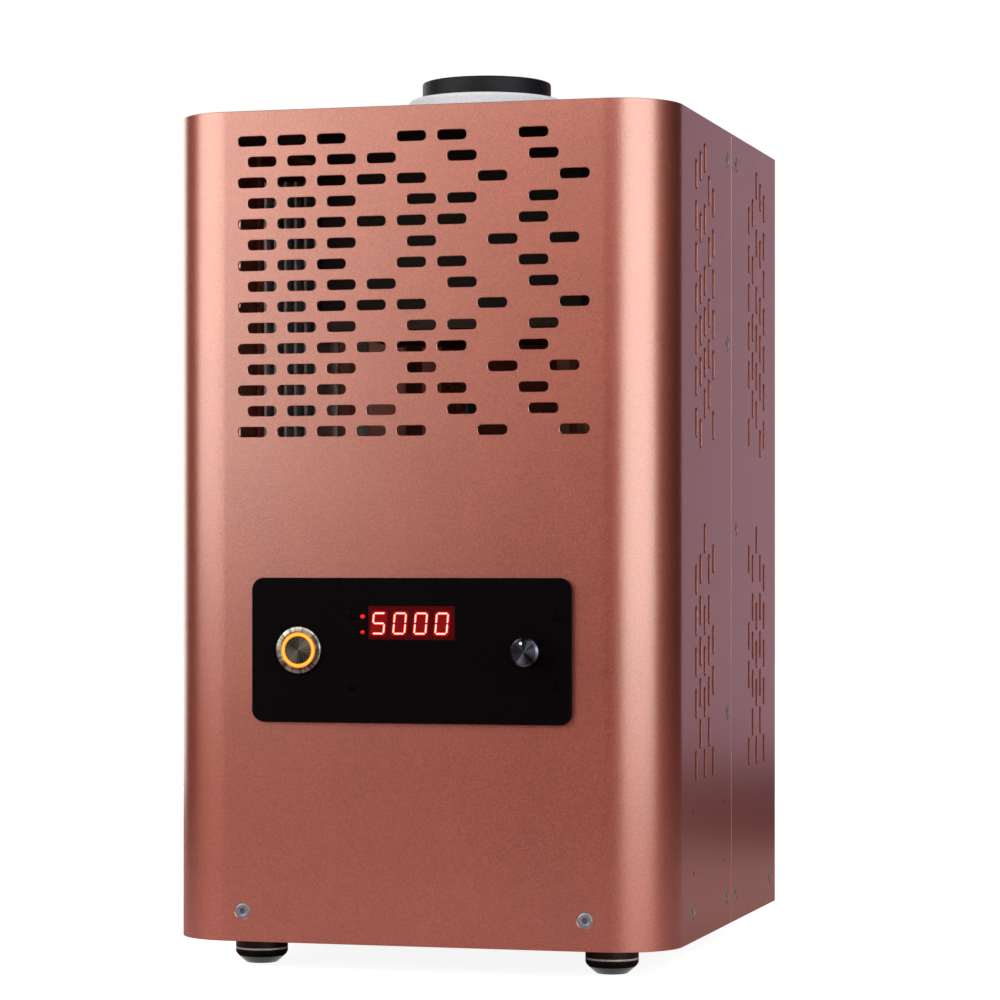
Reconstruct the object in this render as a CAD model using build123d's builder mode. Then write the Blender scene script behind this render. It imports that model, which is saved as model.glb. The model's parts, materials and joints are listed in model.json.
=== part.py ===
from build123d import *
import os
from math import cos, radians, sin

os.makedirs("parts", exist_ok=True)

# A bench-top induction furnace for melting gold. Millimetres, +Z up, the front faces -Y,
# and the origin is on the floor under the middle of the whole machine.

# Case
body_width = 300.0
body_depth = 320.0
body_height = 480.0
sheet = 2.0  # thickness of the bent covers
front_radius = 38.0  # outside radius of the two front edges
rear_radius = 4.0
seam_depth = 176.5  # from the front face back to the joint between the covers
seam_gap = 1.0
frame_gap = 0.3  # between a cover and the frame inside it
contact_gap = 0.05  # between pieces that slide or are pushed into each other

# Ventilation slots
slot_length = 17.5
slot_width = 5.8
slot_pitch = 24.0
slot_row_pitch = 12.0
slot_row_shift = 6.0  # every second row is moved sideways by this
slot_row_count = 15
slot_top_drop = 17.6  # from the case's top edge down to the first row
front_slot_rows = (  # the columns that have a slot, in six rows that repeat
    (0, 1, 2, 4, 5, 7),
    (0, 1, 2, 3, 5, 7),
    (0, 1, 2, 3, 4, 6, 8),
    (0, 1, 2, 4, 5, 7),
    (0, 1, 2, 3, 4, 5, 7),
    (0, 1, 2, 4, 6, 7.5),
)
side_slot_far = 102.0  # from the seam to the farthest column of side slots
side_column_pitch = 12.0
side_slot_step = 6.0
side_upper_drop = 15.0  # from the case's top edge to the upper group
side_upper_columns = (  # steps down to each slot's top, from the farthest column inwards
    (2, 6, 10, 14, 18, 22, 26),
    (1, 7, 13, 17, 21, 27),
    (0, 6, 12, 16, 20, 24),
    (3, 9, 15, 19, 23),
    (4, 8, 12, 16, 20, 26),
)
side_lower_height = 242.0  # from the case's lower edge to the top of the lower group
side_lower_columns = (
    (4, 8, 12, 16, 22),
    (3, 7, 11, 15, 19),
    (0, 8, 12, 16, 22),
    (3, 7, 11, 15, 19),
    (2, 10, 14, 22),
)
pilot_radius = 1.25  # four small holes low on the right-hand side
pilot_spacing_y = 88.0
pilot_spacing_z = 36.0
pilot_depth = 111.5  # from the front face to the middle of the four
pilot_height = 57.5

# Cover screws, M5 countersunk
screw_head_radius = 4.5
screw_head_rim = 0.3  # above the head's taper
screw_length = 8.0
screw_gap = 0.1
screw_edge = 17.5  # from the case's top and lower edges to the nearest screws
screw_from_seam = 13.5
front_screw_inset = 48.0  # from the case's side to a screw in its front or rear wall
tray_screw_setback = 66.5
rear_screw_setback = 24.0

# Frame
tray_rise = 2.0  # from the covers' lower edge up to the tray
tray_flange = 32.0
upright_width = 44.0
upright_sheet = 3.0
upright_tab = 25.0
top_sheet = 3.0
top_recess = 1.5
shelf_height = 262.0  # above the covers' lower edge
shelf_setback = 45.0
shelf_rear_gap = 8.0
shelf_flange = 14.0

# Feet
foot_height = 17.0  # from the floor up to the covers' lower edge
foot_radius = 15.5
foot_pad_height = 8.0
foot_taper = 6.5
foot_sides = 16
foot_inset = 43.5  # from the case's side to a foot's axis
foot_setback = 47.0

# Control panel
panel_width = 190.0
panel_height = 83.0
panel_radius = 7.0
panel_thickness = 3.0
panel_middle = 168.8  # height above the covers' lower edge
display_x = 1.0
display_z = 15.8
display_width = 51.5
display_height = 19.4
led_x = -28.2
led_radius = 1.5
led_high = 19.4
led_low = 10.3
led_proud = 0.8
board_x = 25.75
board_screw_spacing_x = 121.5
board_screw_spacing_z = 40.0
board_margin = 6.0
board_thickness = 1.6
board_gap = 12.0  # from the panel's back to the board
board_window_gap = 2.0
panel_screw_radius = 1.4
panel_screw_head_radius = 2.75
panel_screw_head = 0.8
panel_screw_length = 8.0
spacer_radius = 3.2

# Power button
button_x = -66.0
button_radius = 14.0
button_proud = 3.0
button_barrel_radius = 12.4
button_barrel_length = 26.0
button_ring_radius = 10.3
button_cap_radius = 7.35
button_ring_depth = 4.0
button_cap_length = 8.0
button_well = 12.0
button_sides = 24

# Control knob
knob_x = 71.3
knob_radius = 8.5
knob_length = 15.0
knob_gap = 0.5
knob_bore_depth = 10.0
knob_shaft_radius = 3.0
knob_sides = 24
shaft_sides = 12
pot_width = 16.0
pot_depth = 8.0

# Melting unit
melt_depth = 160.0  # from the front face to the crucible's axis
collar_radius = 48.0
collar_proud = 22.5  # above the case's top edge
liner_radius = 41.0
liner_bore = 35.0
crucible_radius = 34.0
crucible_height = 125.0
crucible_wall = 7.0
crucible_floor = 9.0
crucible_proud = 0.3  # the crucible's rim above the collar
lid_radius = 39.5
lid_thickness = 10.5
round_sides = 36
brick_size = 100.0
brick_thickness = 12.0
hearth_depth = 164.0
hearth_margin = 2.0  # the hearth board beyond the shield, on each side
hearth_thickness = 8.0
shield_depth = 160.0
shield_inset = 70.0  # from the case's sides to the shield
shield_wall = 3.0
post_radius = 6.0
post_inset = 14.0
coil_gap = 3.0  # between the liner and the copper tube
coil_tube_radius = 4.0
coil_turns = 4
coil_pitch = 14.0
coil_sides = 10  # straight runs in one turn
coil_lift = 10.0  # from the brick to the lowest turn
coil_lead_beyond = 4.0  # how far the leads pass the shield
terminal_width = 18.0
terminal_length = 14.0
terminal_height = 14.0

# Power electronics
heat_sink_inset = 43.0  # from the case's left side to the middle
heat_sink_width = 38.0
heat_sink_depth = 42.0
heat_sink_height = 186.0
heat_sink_base = 6.0
heat_sink_setback = 100.0
fin_thickness = 1.6
fin_pitch = 6.4
module_width = 34.0
module_depth = 20.0
module_height = 84.0
module_gap = 6.0
power_board_width = 150.0
power_board_depth = 90.0
power_board_setback = 30.0
power_board_inset = 95.0  # from the case's right side to the middle
power_spacer_height = 10.0
filter_width = 30.0
filter_depth = 45.0
filter_height = 40.0
filter_pitch = 38.0
bank_width = 110.0
bank_depth = 36.0
bank_height = 110.0
busbar_width = 15.0
busbar_thickness = 3.0
inductor_width = 70.0
inductor_depth = 60.0
inductor_height = 64.0
inductor_window = 18.0
inductor_inset = 80.0  # from the case's right side to the middle
inductor_setback = 140.0

# Cooling
fan_size = 120.0
fan_depth = 25.0
fan_bore = 57.0
fan_inset = 68.0  # from the case's right side to the axis
fan_height = 185.0  # above the covers' lower edge
fan_hub_radius = 20.0
fan_hub_length = 18.0
fan_plate = 3.0
fan_strut = 6.0
fan_blade_tip = 54.0
fan_blade_width = 24.0
fan_blade_thickness = 1.8
fan_blade_pitch = 38.0  # degrees
fan_blade_count = 7
fan_spindle_radius = 3.0
fan_sides = 28
guard_size = 124.0
guard_depth = 9.0
guard_border = 8.0
guard_slat = 2.0
guard_slat_count = 8
radiator_depth = 27.0
radiator_tank = 12.0
radiator_fin = 1.6
radiator_fin_count = 11
tank_width = 60.0
tank_depth = 100.0
tank_height = 150.0
tank_edge = 6.0
tank_inset = 60.0  # from the case's left side to the middle
tank_setback = 130.0
filler_radius = 12.0
filler_wall = 2.0
filler_inset = 44.0  # from the case's left side to the axis
filler_setback = 215.0
cap_radius = 19.0
cap_height = 13.0
pump_width = 48.0
pump_depth = 36.0
pump_height = 50.0
pump_inset = 114.0  # from the case's left side to the middle
pump_rear_gap = 6.0
hose_radius = 5.0
tank_hose_height = 30.0  # above the tray's floor
return_hose_height = 80.0

# Mains inlet
inlet_inset = 65.0  # from the case's left side to the gland and the breaker
gland_height = 70.0
gland_bore = 5.0
gland_thread_radius = 10.0
gland_flange_radius = 14.0
gland_flange = 6.0
gland_nut_radius = 12.0
gland_nut = 16.0
gland_inside = 12.0
breaker_height = 200.0
breaker_width = 36.0
breaker_nose = 46.0
breaker_body = 84.0
breaker_depth = 60.0
breaker_step = 16.0  # depth of the nose in front of the body
breaker_proud = 4.0
breaker_well_width = 30.0
breaker_well_height = 22.0
lever_drum_radius = 7.0
lever_reach = 16.0
lever_thickness = 4.0
lever_rest = 30.0  # degrees above level when it is on
terminal_block_width = 40.0
terminal_block_depth = 20.0
terminal_block_height = 24.0
terminal_block_inset = 38.0  # from the case's left side to the middle
terminal_block_rear_gap = 12.0

# Main planes and levels
upward = (Align.CENTER, Align.CENTER, Align.MIN)
downward = (Align.CENTER, Align.CENTER, Align.MAX)
half_width = body_width / 2
front_screw_x = half_width - front_screw_inset
foot_x = half_width - foot_inset
fan_x = half_width - fan_inset
inductor_x = half_width - inductor_inset
power_board_x = half_width - power_board_inset
heat_sink_x = heat_sink_inset - half_width
tank_x = tank_inset - half_width
filler_x = filler_inset - half_width
pump_x = pump_inset - half_width
inlet_x = inlet_inset - half_width
terminal_block_x = terminal_block_inset - half_width
front_reach = panel_thickness + knob_gap + knob_length
rear_reach = gland_flange + gland_nut
front_y = front_reach - (body_depth + front_reach + rear_reach) / 2
rear_y = front_y + body_depth
seam_y = front_y + seam_depth
base_z = foot_height
top_z = base_z + body_height
inset = sheet + frame_gap
inner_x = half_width - inset
tray_z = base_z + tray_rise
floor_z = tray_z + sheet
plate_z = top_z - top_recess - top_sheet
shelf_z = base_z + shelf_height
panel_z = base_z + panel_middle
melt_y = front_y + melt_depth
foot_points = [
    (x, y)
    for x in (-foot_x, foot_x)
    for y in (front_y + foot_setback, rear_y - foot_setback)
]


def facing(y):
    """The plane at this y that looks to the front, with X to the right and Z up."""
    return Plane.XZ.offset(-y)


def block(x, y, z, mode=Mode.ADD):
    """A box between two values on each axis."""
    with Locations(((x[0] + x[1]) / 2, (y[0] + y[1]) / 2, (z[0] + z[1]) / 2)):
        Box(x[1] - x[0], y[1] - y[0], z[1] - z[0], mode=mode)


def frame_outline():
    """The inside of the covers, less the gap that the frame keeps to them."""
    with BuildSketch() as outline:
        with Locations((0, (front_y + rear_y) / 2)):
            Rectangle(2 * inner_x, body_depth - 2 * inset)
        fillet(outline.vertices().group_by(Axis.Y)[0], front_radius - inset)
        chamfer(outline.vertices().group_by(Axis.Y)[-1], rear_radius - sheet)
    return outline.sketch


# Screw positions: each is a plane whose normal points out of the case
screw_pitch = (body_height - 2 * screw_edge) / 4
screw_rows = [base_z + screw_edge + row * screw_pitch for row in range(5)]


def side_planes(y, z):
    """The right and left places of one side screw."""
    return [Plane((side * half_width, y, z), z_dir=(side, 0, 0)) for side in (1, -1)]


front_cover_places = [
    Plane((x, front_y, screw_rows[0]), z_dir=(0, -1, 0)) for x in (-front_screw_x, front_screw_x)
]
front_cover_places += side_planes(front_y + tray_screw_setback, screw_rows[0])
for row in (0, 1, 3, 4):
    front_cover_places += side_planes(seam_y - screw_from_seam, screw_rows[row])

rear_cover_places = [
    Plane((x, rear_y, screw_rows[0]), z_dir=(0, 1, 0)) for x in (-front_screw_x, front_screw_x)
]
rear_cover_places += side_planes(rear_y - rear_screw_setback, screw_rows[0])
for row in (0, 2, 4):
    rear_cover_places += side_planes(seam_y + screw_from_seam, screw_rows[row])

all_places = front_cover_places + rear_cover_places

# A countersunk screw. Its head tapers through the whole sheet down to the shank.
screw_taper = sheet - screw_head_rim
screw_radius = screw_head_radius - screw_taper / cos(radians(30))
with BuildPart() as screw_form:
    with BuildSketch():
        RegularPolygon(screw_head_radius, 6)
    extrude(amount=-sheet)
    chamfer(screw_form.faces().sort_by(Axis.Z)[0].edges(), length=screw_taper)
    with BuildSketch(Plane.XY.offset(-sheet)):
        RegularPolygon(screw_radius, 6)
    extrude(amount=sheet - screw_length)

with BuildPart() as countersink:
    with BuildSketch():
        RegularPolygon(screw_head_radius + screw_gap, 6)
    extrude(amount=-sheet)
    chamfer(countersink.faces().sort_by(Axis.Z)[0].edges(), length=screw_taper)

with BuildPart() as screw_hole:
    with BuildSketch():
        RegularPolygon(screw_radius + screw_gap, 6)
    extrude(amount=-screw_length)


def slot_points():
    """Centres of the front slots, as x and z."""
    points = []
    for row in range(slot_row_count):
        shift = slot_row_shift * (row % 2)
        z = top_z - slot_top_drop - row * slot_row_pitch
        for column in front_slot_rows[row % len(front_slot_rows)]:
            points.append(((column - 4) * slot_pitch + shift, z))
    return points


def side_slot_points(direction):
    """Centres of the side slots ahead of the seam (-1) or behind it (1), as y and z."""
    points = []
    upper = (top_z - side_upper_drop, side_upper_columns)
    lower = (base_z + side_lower_height, side_lower_columns)
    for group_top, columns in (upper, lower):
        for number, steps in enumerate(columns):
            y = seam_y + direction * (side_slot_far - number * side_column_pitch)
            for step in steps:
                points.append((y, group_top - step * side_slot_step - slot_length / 2))
    return points


# Front cover: one sheet bent round both front edges, with slots in all three walls
board_width = board_screw_spacing_x + 2 * board_margin
board_height = board_screw_spacing_z + 2 * board_margin
with BuildPart() as front_cover:
    with BuildSketch(Plane.XY.offset(base_z)):
        with BuildLine():
            FilletPolyline(
                (-half_width, seam_y - seam_gap / 2),
                (-half_width, front_y),
                (half_width, front_y),
                (half_width, seam_y - seam_gap / 2),
                radius=front_radius,
            )
            offset(amount=sheet, side=Side.LEFT)
        make_face()
    extrude(amount=body_height)
    with BuildSketch(facing(front_y)):
        with Locations(*slot_points()):
            Rectangle(slot_length, slot_width)
    extrude(amount=-2 * sheet, mode=Mode.SUBTRACT)
    with BuildSketch(facing(front_y)):
        with Locations((board_x, panel_z)):
            Rectangle(board_width + 2 * board_window_gap, board_height + 2 * board_window_gap)
        with Locations((button_x, panel_z)):
            RegularPolygon(button_barrel_radius + screw_gap, button_sides)
    extrude(amount=-2 * sheet, mode=Mode.SUBTRACT)
    with BuildSketch(Plane.YZ):
        with Locations(*side_slot_points(-1)):
            Rectangle(slot_width, slot_length)
    extrude(amount=body_width, both=True, mode=Mode.SUBTRACT)
    with BuildSketch(Plane.YZ):
        with Locations((front_y + pilot_depth, base_z + pilot_height)):
            with GridLocations(pilot_spacing_y, pilot_spacing_z, 2, 2):
                RegularPolygon(pilot_radius, 6)
    extrude(amount=body_width, mode=Mode.SUBTRACT)
    with Locations(*front_cover_places):
        add(countersink.part, mode=Mode.SUBTRACT)
front_cover.part.label = "front_cover"
export_step(front_cover.part, "parts/front_cover.step")

# Rear cover: the other half of the case, bent at both rear edges
fan_z = base_z + fan_height
gland_z = base_z + gland_height
breaker_z = base_z + breaker_height
with BuildPart() as rear_cover:
    with BuildSketch(Plane.XY.offset(base_z)):
        with BuildLine():
            FilletPolyline(
                (half_width, seam_y + seam_gap / 2),
                (half_width, rear_y),
                (-half_width, rear_y),
                (-half_width, seam_y + seam_gap / 2),
                radius=rear_radius,
            )
            offset(amount=sheet, side=Side.LEFT)
        make_face()
    extrude(amount=body_height)
    with BuildSketch(Plane.YZ):
        with Locations(*side_slot_points(1)):
            Rectangle(slot_width, slot_length)
    extrude(amount=body_width, both=True, mode=Mode.SUBTRACT)
    with BuildSketch(facing(rear_y)):
        with Locations((fan_x, fan_z)):
            RegularPolygon(fan_bore, fan_sides)
        with Locations((inlet_x, gland_z)):
            RegularPolygon(gland_thread_radius + screw_gap, shaft_sides)
        with Locations((inlet_x, breaker_z)):
            Rectangle(breaker_width + 2 * frame_gap, breaker_nose + 2 * frame_gap)
    extrude(amount=2 * sheet, mode=Mode.SUBTRACT)
    with Locations(*rear_cover_places):
        add(countersink.part, mode=Mode.SUBTRACT)
rear_cover.part.label = "rear_cover"
export_step(rear_cover.part, "parts/rear_cover.step")

# Base tray: the floor, with flanges that the covers screw to
upright_front = seam_y - upright_width / 2
upright_rear = seam_y + upright_width / 2
flange_z = (tray_z, tray_z + tray_flange)
with BuildPart() as base_tray:
    with BuildSketch(Plane.XY.offset(tray_z)):
        add(frame_outline())
    extrude(amount=sheet)
    flat_x = half_width - front_radius
    block((-flat_x, flat_x), (front_y + inset, front_y + inset + sheet), flange_z)
    block((-flat_x, flat_x), (rear_y - inset - sheet, rear_y - inset), flange_z)
    for side in (-1, 1):
        wall = sorted((side * inner_x, side * (inner_x - sheet)))
        block(wall, (front_y + front_radius, upright_front - frame_gap), flange_z)
        block(wall, (upright_rear + frame_gap, rear_y - rear_radius - sheet), flange_z)
    with Locations(*all_places):
        add(screw_hole.part, mode=Mode.SUBTRACT)
base_tray.part.label = "base_tray"
export_step(base_tray.part, "parts/base_tray.step")


# Uprights: a bent strip behind each seam, from the tray to the top plate
def make_upright(side):
    outer = side * inner_x
    web = side * (inner_x - upright_sheet)
    tip = side * (inner_x - upright_tab)
    with BuildPart() as upright:
        with BuildSketch(facing(upright_front)):
            with BuildLine():
                Polyline(
                    (outer, floor_z),
                    (tip, floor_z),
                    (tip, floor_z + upright_sheet),
                    (web, floor_z + upright_sheet),
                    (web, plate_z - upright_sheet),
                    (tip, plate_z - upright_sheet),
                    (tip, plate_z),
                    (outer, plate_z),
                    close=True,
                )
            make_face()
        extrude(amount=-upright_width)
        with Locations(*all_places):
            add(screw_hole.part, mode=Mode.SUBTRACT)
    return upright


upright_left = make_upright(-1)
upright_left.part.label = "upright_left"
export_step(upright_left.part, "parts/upright_left.step")
upright_right = make_upright(1)
upright_right.part.label = "upright_right"
export_step(upright_right.part, "parts/upright_right.step")

# Top plate: carries the ceramic liner, and has a hole for the water filler
filler_y = front_y + filler_setback
with BuildPart() as top_plate:
    with BuildSketch(Plane.XY.offset(plate_z)):
        add(frame_outline())
        with Locations((0, melt_y)):
            RegularPolygon(liner_radius + frame_gap, round_sides, mode=Mode.SUBTRACT)
        with Locations((filler_x, filler_y)):
            RegularPolygon(filler_radius + contact_gap, shaft_sides, mode=Mode.SUBTRACT)
    extrude(amount=top_sheet)
top_plate.part.label = "top_plate"
export_step(top_plate.part, "parts/top_plate.step")

# Mid shelf: a folded plate between the uprights, over the power section
shelf_x = inner_x - upright_sheet
shelf_y = (front_y + shelf_setback, rear_y - inset - shelf_rear_gap)
coil_radius = liner_radius + coil_gap + coil_tube_radius
lead_y = melt_y + shield_depth / 2 + coil_lead_beyond
busbar_y = lead_y + terminal_length / 2
radiator_y = rear_y - inset - fan_depth - radiator_depth / 2
pump_y = rear_y - inset - sheet - pump_rear_gap - pump_depth / 2
with BuildPart() as mid_shelf:
    block((-shelf_x, shelf_x), shelf_y, (shelf_z, shelf_z + sheet))
    for side in (-1, 1):
        wall = sorted((side * shelf_x, side * (shelf_x - sheet)))
        block(wall, shelf_y, (shelf_z - shelf_flange, shelf_z))
    with BuildSketch(Plane.XY.offset(shelf_z)):
        with Locations((filler_x, filler_y)):
            Rectangle(2 * (filler_radius + sheet), 2 * (filler_radius + sheet))
        with Locations((-coil_radius, busbar_y), (coil_radius, busbar_y)):
            Rectangle(busbar_width + 2 * sheet, busbar_thickness + 2 * sheet)
        with Locations((-coil_radius, pump_y), (coil_radius, radiator_y)):
            Rectangle(2 * (hose_radius + sheet), 2 * (hose_radius + sheet))
    extrude(amount=sheet, mode=Mode.SUBTRACT)
mid_shelf.part.label = "mid_shelf"
export_step(mid_shelf.part, "parts/mid_shelf.step")

# Screws
with BuildPart() as front_cover_screws:
    with Locations(*front_cover_places):
        add(screw_form.part)
front_cover_screws.part.label = "front_cover_screws"
export_step(front_cover_screws.part, "parts/front_cover_screws.step")

with BuildPart() as rear_cover_screws:
    with Locations(*rear_cover_places):
        add(screw_form.part)
rear_cover_screws.part.label = "rear_cover_screws"
export_step(rear_cover_screws.part, "parts/rear_cover_screws.step")

# Feet: a round body under the tray and a tapered pad that stands on the floor
with BuildPart() as foot_bodies:
    with BuildSketch(Plane.XY.offset(foot_pad_height)):
        with Locations(*foot_points):
            RegularPolygon(foot_radius, foot_sides)
    extrude(amount=tray_z - foot_pad_height)
foot_bodies.part.label = "foot_bodies"
export_step(foot_bodies.part, "parts/foot_bodies.step")

with BuildPart() as foot_pads:
    with BuildSketch(Plane.XY.offset(foot_pad_height)):
        with Locations(*foot_points):
            RegularPolygon(foot_radius, foot_sides)
    extrude(amount=-foot_pad_height)
    chamfer(foot_pads.faces().group_by(Axis.Z)[0].edges(), length=foot_taper)
foot_pads.part.label = "foot_pads"
export_step(foot_pads.part, "parts/foot_pads.step")

# Control panel: a black plate on the front cover
panel_front = front_y - panel_thickness
display_place = (display_x, panel_z + display_z)
led_places = [(led_x, panel_z + led_high), (led_x, panel_z + led_low)]
panel_screw_places = [
    (board_x + side * board_screw_spacing_x / 2, panel_z + level * board_screw_spacing_z / 2)
    for side in (-1, 1)
    for level in (-1, 1)
]
with BuildPart() as control_panel:
    with BuildSketch(facing(front_y)):
        with Locations((0, panel_z)):
            RectangleRounded(panel_width, panel_height, panel_radius)
        with Locations(display_place):
            Rectangle(display_width, display_height, mode=Mode.SUBTRACT)
        with Locations(*led_places):
            RegularPolygon(led_radius + contact_gap, 6, mode=Mode.SUBTRACT)
        with Locations((button_x, panel_z)):
            RegularPolygon(
                button_barrel_radius + screw_gap, button_sides, mode=Mode.SUBTRACT
            )
        with Locations((knob_x, panel_z)):
            Circle(knob_shaft_radius + contact_gap, mode=Mode.SUBTRACT)
        with Locations(*panel_screw_places):
            RegularPolygon(panel_screw_radius + contact_gap, 6, mode=Mode.SUBTRACT)
    extrude(amount=panel_thickness)
control_panel.part.label = "control_panel"
export_step(control_panel.part, "parts/control_panel.step")

with BuildPart() as panel_screws:
    with BuildSketch(facing(panel_front)):
        with Locations(*panel_screw_places):
            RegularPolygon(panel_screw_head_radius, 6)
    extrude(amount=panel_screw_head)
    with BuildSketch(facing(panel_front)):
        with Locations(*panel_screw_places):
            RegularPolygon(panel_screw_radius, 6)
    extrude(amount=-panel_screw_length)
panel_screws.part.label = "panel_screws"
export_step(panel_screws.part, "parts/panel_screws.step")

with BuildPart() as display_window:
    with BuildSketch(facing(front_y)):
        with Locations(display_place):
            Rectangle(display_width - 2 * contact_gap, display_height - 2 * contact_gap)
    extrude(amount=panel_thickness)
display_window.part.label = "display_window"
export_step(display_window.part, "parts/display_window.step")

with BuildPart() as display_module:
    with BuildSketch(facing(front_y)):
        with Locations(display_place):
            Rectangle(display_width - 2 * frame_gap, display_height - 2 * frame_gap)
    extrude(amount=-board_gap)
display_module.part.label = "display_module"
export_step(display_module.part, "parts/display_module.step")

with BuildPart() as status_leds:
    with BuildSketch(facing(front_y + board_gap)):
        with Locations(*led_places):
            RegularPolygon(led_radius, 6)
    extrude(amount=board_gap + panel_thickness + led_proud)
status_leds.part.label = "status_leds"
export_step(status_leds.part, "parts/status_leds.step")

with BuildPart() as control_board:
    with BuildSketch(facing(front_y + board_gap)):
        with Locations((board_x, panel_z)):
            Rectangle(board_width, board_height)
    extrude(amount=-board_thickness)
control_board.part.label = "control_board"
export_step(control_board.part, "parts/control_board.step")

with BuildPart() as board_spacers:
    with BuildSketch(facing(front_y)):
        with Locations(*panel_screw_places):
            RegularPolygon(spacer_radius, 6)
            RegularPolygon(panel_screw_radius + contact_gap, 6, mode=Mode.SUBTRACT)
    extrude(amount=-board_gap)
board_spacers.part.label = "board_spacers"
export_step(board_spacers.part, "parts/board_spacers.step")

# Power button: a bezel with a lit ring and a cap that is pressed in
button_front = panel_front - button_proud
with BuildPart() as button_body:
    with BuildSketch(facing(button_front)):
        with Locations((button_x, panel_z)):
            RegularPolygon(button_radius, button_sides)
    extrude(amount=-button_proud)
    with BuildSketch(facing(panel_front)):
        with Locations((button_x, panel_z)):
            RegularPolygon(button_barrel_radius, button_sides)
    extrude(amount=-button_barrel_length)
    with BuildSketch(facing(button_front)):
        with Locations((button_x, panel_z)):
            RegularPolygon(button_ring_radius + contact_gap, button_sides)
    extrude(amount=-button_well, mode=Mode.SUBTRACT)
button_body.part.label = "button_body"
export_step(button_body.part, "parts/button_body.step")

with BuildPart() as button_ring:
    with BuildSketch(facing(button_front)):
        with Locations((button_x, panel_z)):
            RegularPolygon(button_ring_radius, button_sides)
            RegularPolygon(button_cap_radius + contact_gap, button_sides, mode=Mode.SUBTRACT)
    extrude(amount=-button_ring_depth)
button_ring.part.label = "button_ring"
export_step(button_ring.part, "parts/button_ring.step")

with BuildPart() as button_cap:
    with BuildSketch(facing(button_front)):
        with Locations((button_x, panel_z)):
            RegularPolygon(button_cap_radius, button_sides)
    extrude(amount=-button_cap_length)
button_cap.part.label = "button_cap"
export_step(button_cap.part, "parts/button_cap.step")

# Control knob on the shaft of a potentiometer
knob_back = panel_front - knob_gap
with BuildPart() as knob:
    with BuildSketch(facing(knob_back)):
        with Locations((knob_x, panel_z)):
            RegularPolygon(knob_radius, knob_sides)
    extrude(amount=knob_length)
    with BuildSketch(facing(knob_back)):
        with Locations((knob_x, panel_z)):
            RegularPolygon(knob_shaft_radius + contact_gap, shaft_sides)
    extrude(amount=knob_bore_depth, mode=Mode.SUBTRACT)
knob.part.label = "knob"
export_step(knob.part, "parts/knob.step")

with BuildPart() as knob_shaft:
    with BuildSketch(facing(knob_back - knob_bore_depth)):
        with Locations((knob_x, panel_z)):
            RegularPolygon(knob_shaft_radius, shaft_sides)
    extrude(amount=-(knob_bore_depth + knob_gap + panel_thickness + board_gap - pot_depth))
knob_shaft.part.label = "knob_shaft"
export_step(knob_shaft.part, "parts/knob_shaft.step")

pot_plane = Plane((knob_x, front_y + board_gap, panel_z), x_dir=(1, 0, 0), z_dir=(0, -1, 0))
with BuildPart(pot_plane) as potentiometer:
    Box(pot_width, pot_width, pot_depth, align=upward)
potentiometer.part.label = "potentiometer"
export_step(potentiometer.part, "parts/potentiometer.step")

# Melting unit: a lid on a crucible, in a ceramic liner with the coil round it
collar_top = top_z + collar_proud
rim_z = collar_top + crucible_proud
hearth_top = rim_z - crucible_height  # where the liner and the crucible stand
with BuildPart() as liner:
    with BuildSketch(Plane((0, melt_y, hearth_top))):
        RegularPolygon(liner_radius, round_sides)
        RegularPolygon(liner_bore, round_sides, mode=Mode.SUBTRACT)
    extrude(amount=collar_top - hearth_top)
    with BuildSketch(Plane((0, melt_y, plate_z + top_sheet))):
        RegularPolygon(collar_radius, round_sides)
        RegularPolygon(liner_bore, round_sides, mode=Mode.SUBTRACT)
    extrude(amount=collar_top - plate_z - top_sheet)
liner.part.label = "liner"
export_step(liner.part, "parts/liner.step")

with BuildPart() as crucible:
    with BuildSketch(Plane((0, melt_y, hearth_top))):
        RegularPolygon(crucible_radius, round_sides)
    extrude(amount=crucible_height)
    with BuildSketch(Plane((0, melt_y, rim_z))):
        RegularPolygon(crucible_radius - crucible_wall, round_sides)
    extrude(amount=crucible_floor - crucible_height, mode=Mode.SUBTRACT)
crucible.part.label = "crucible"
export_step(crucible.part, "parts/crucible.step")

with BuildPart() as lid:
    with BuildSketch(Plane((0, melt_y, rim_z))):
        RegularPolygon(lid_radius, round_sides)
    extrude(amount=lid_thickness)
lid.part.label = "lid"
export_step(lid.part, "parts/lid.step")

with BuildPart(Plane((0, melt_y, hearth_top))) as hearth_brick:
    Box(brick_size, brick_size, brick_thickness, align=downward)
hearth_brick.part.label = "hearth_brick"
export_step(hearth_brick.part, "parts/hearth_brick.step")

board_top = hearth_top - brick_thickness
shield_width = body_width - 2 * shield_inset
hearth_width = shield_width + 2 * hearth_margin
with BuildPart(Plane((0, melt_y, board_top))) as hearth_board:
    Box(hearth_width, hearth_depth, hearth_thickness, align=downward)
hearth_board.part.label = "hearth_board"
export_step(hearth_board.part, "parts/hearth_board.step")

with BuildPart() as hearth_posts:
    with BuildSketch(Plane.XY.offset(shelf_z + sheet)):
        with Locations((0, melt_y)):
            with GridLocations(hearth_width - 2 * post_inset, hearth_depth - 2 * post_inset, 2, 2):
                RegularPolygon(post_radius, 6)
    extrude(amount=board_top - hearth_thickness - shelf_z - sheet)
hearth_posts.part.label = "hearth_posts"
export_step(hearth_posts.part, "parts/hearth_posts.step")

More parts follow.
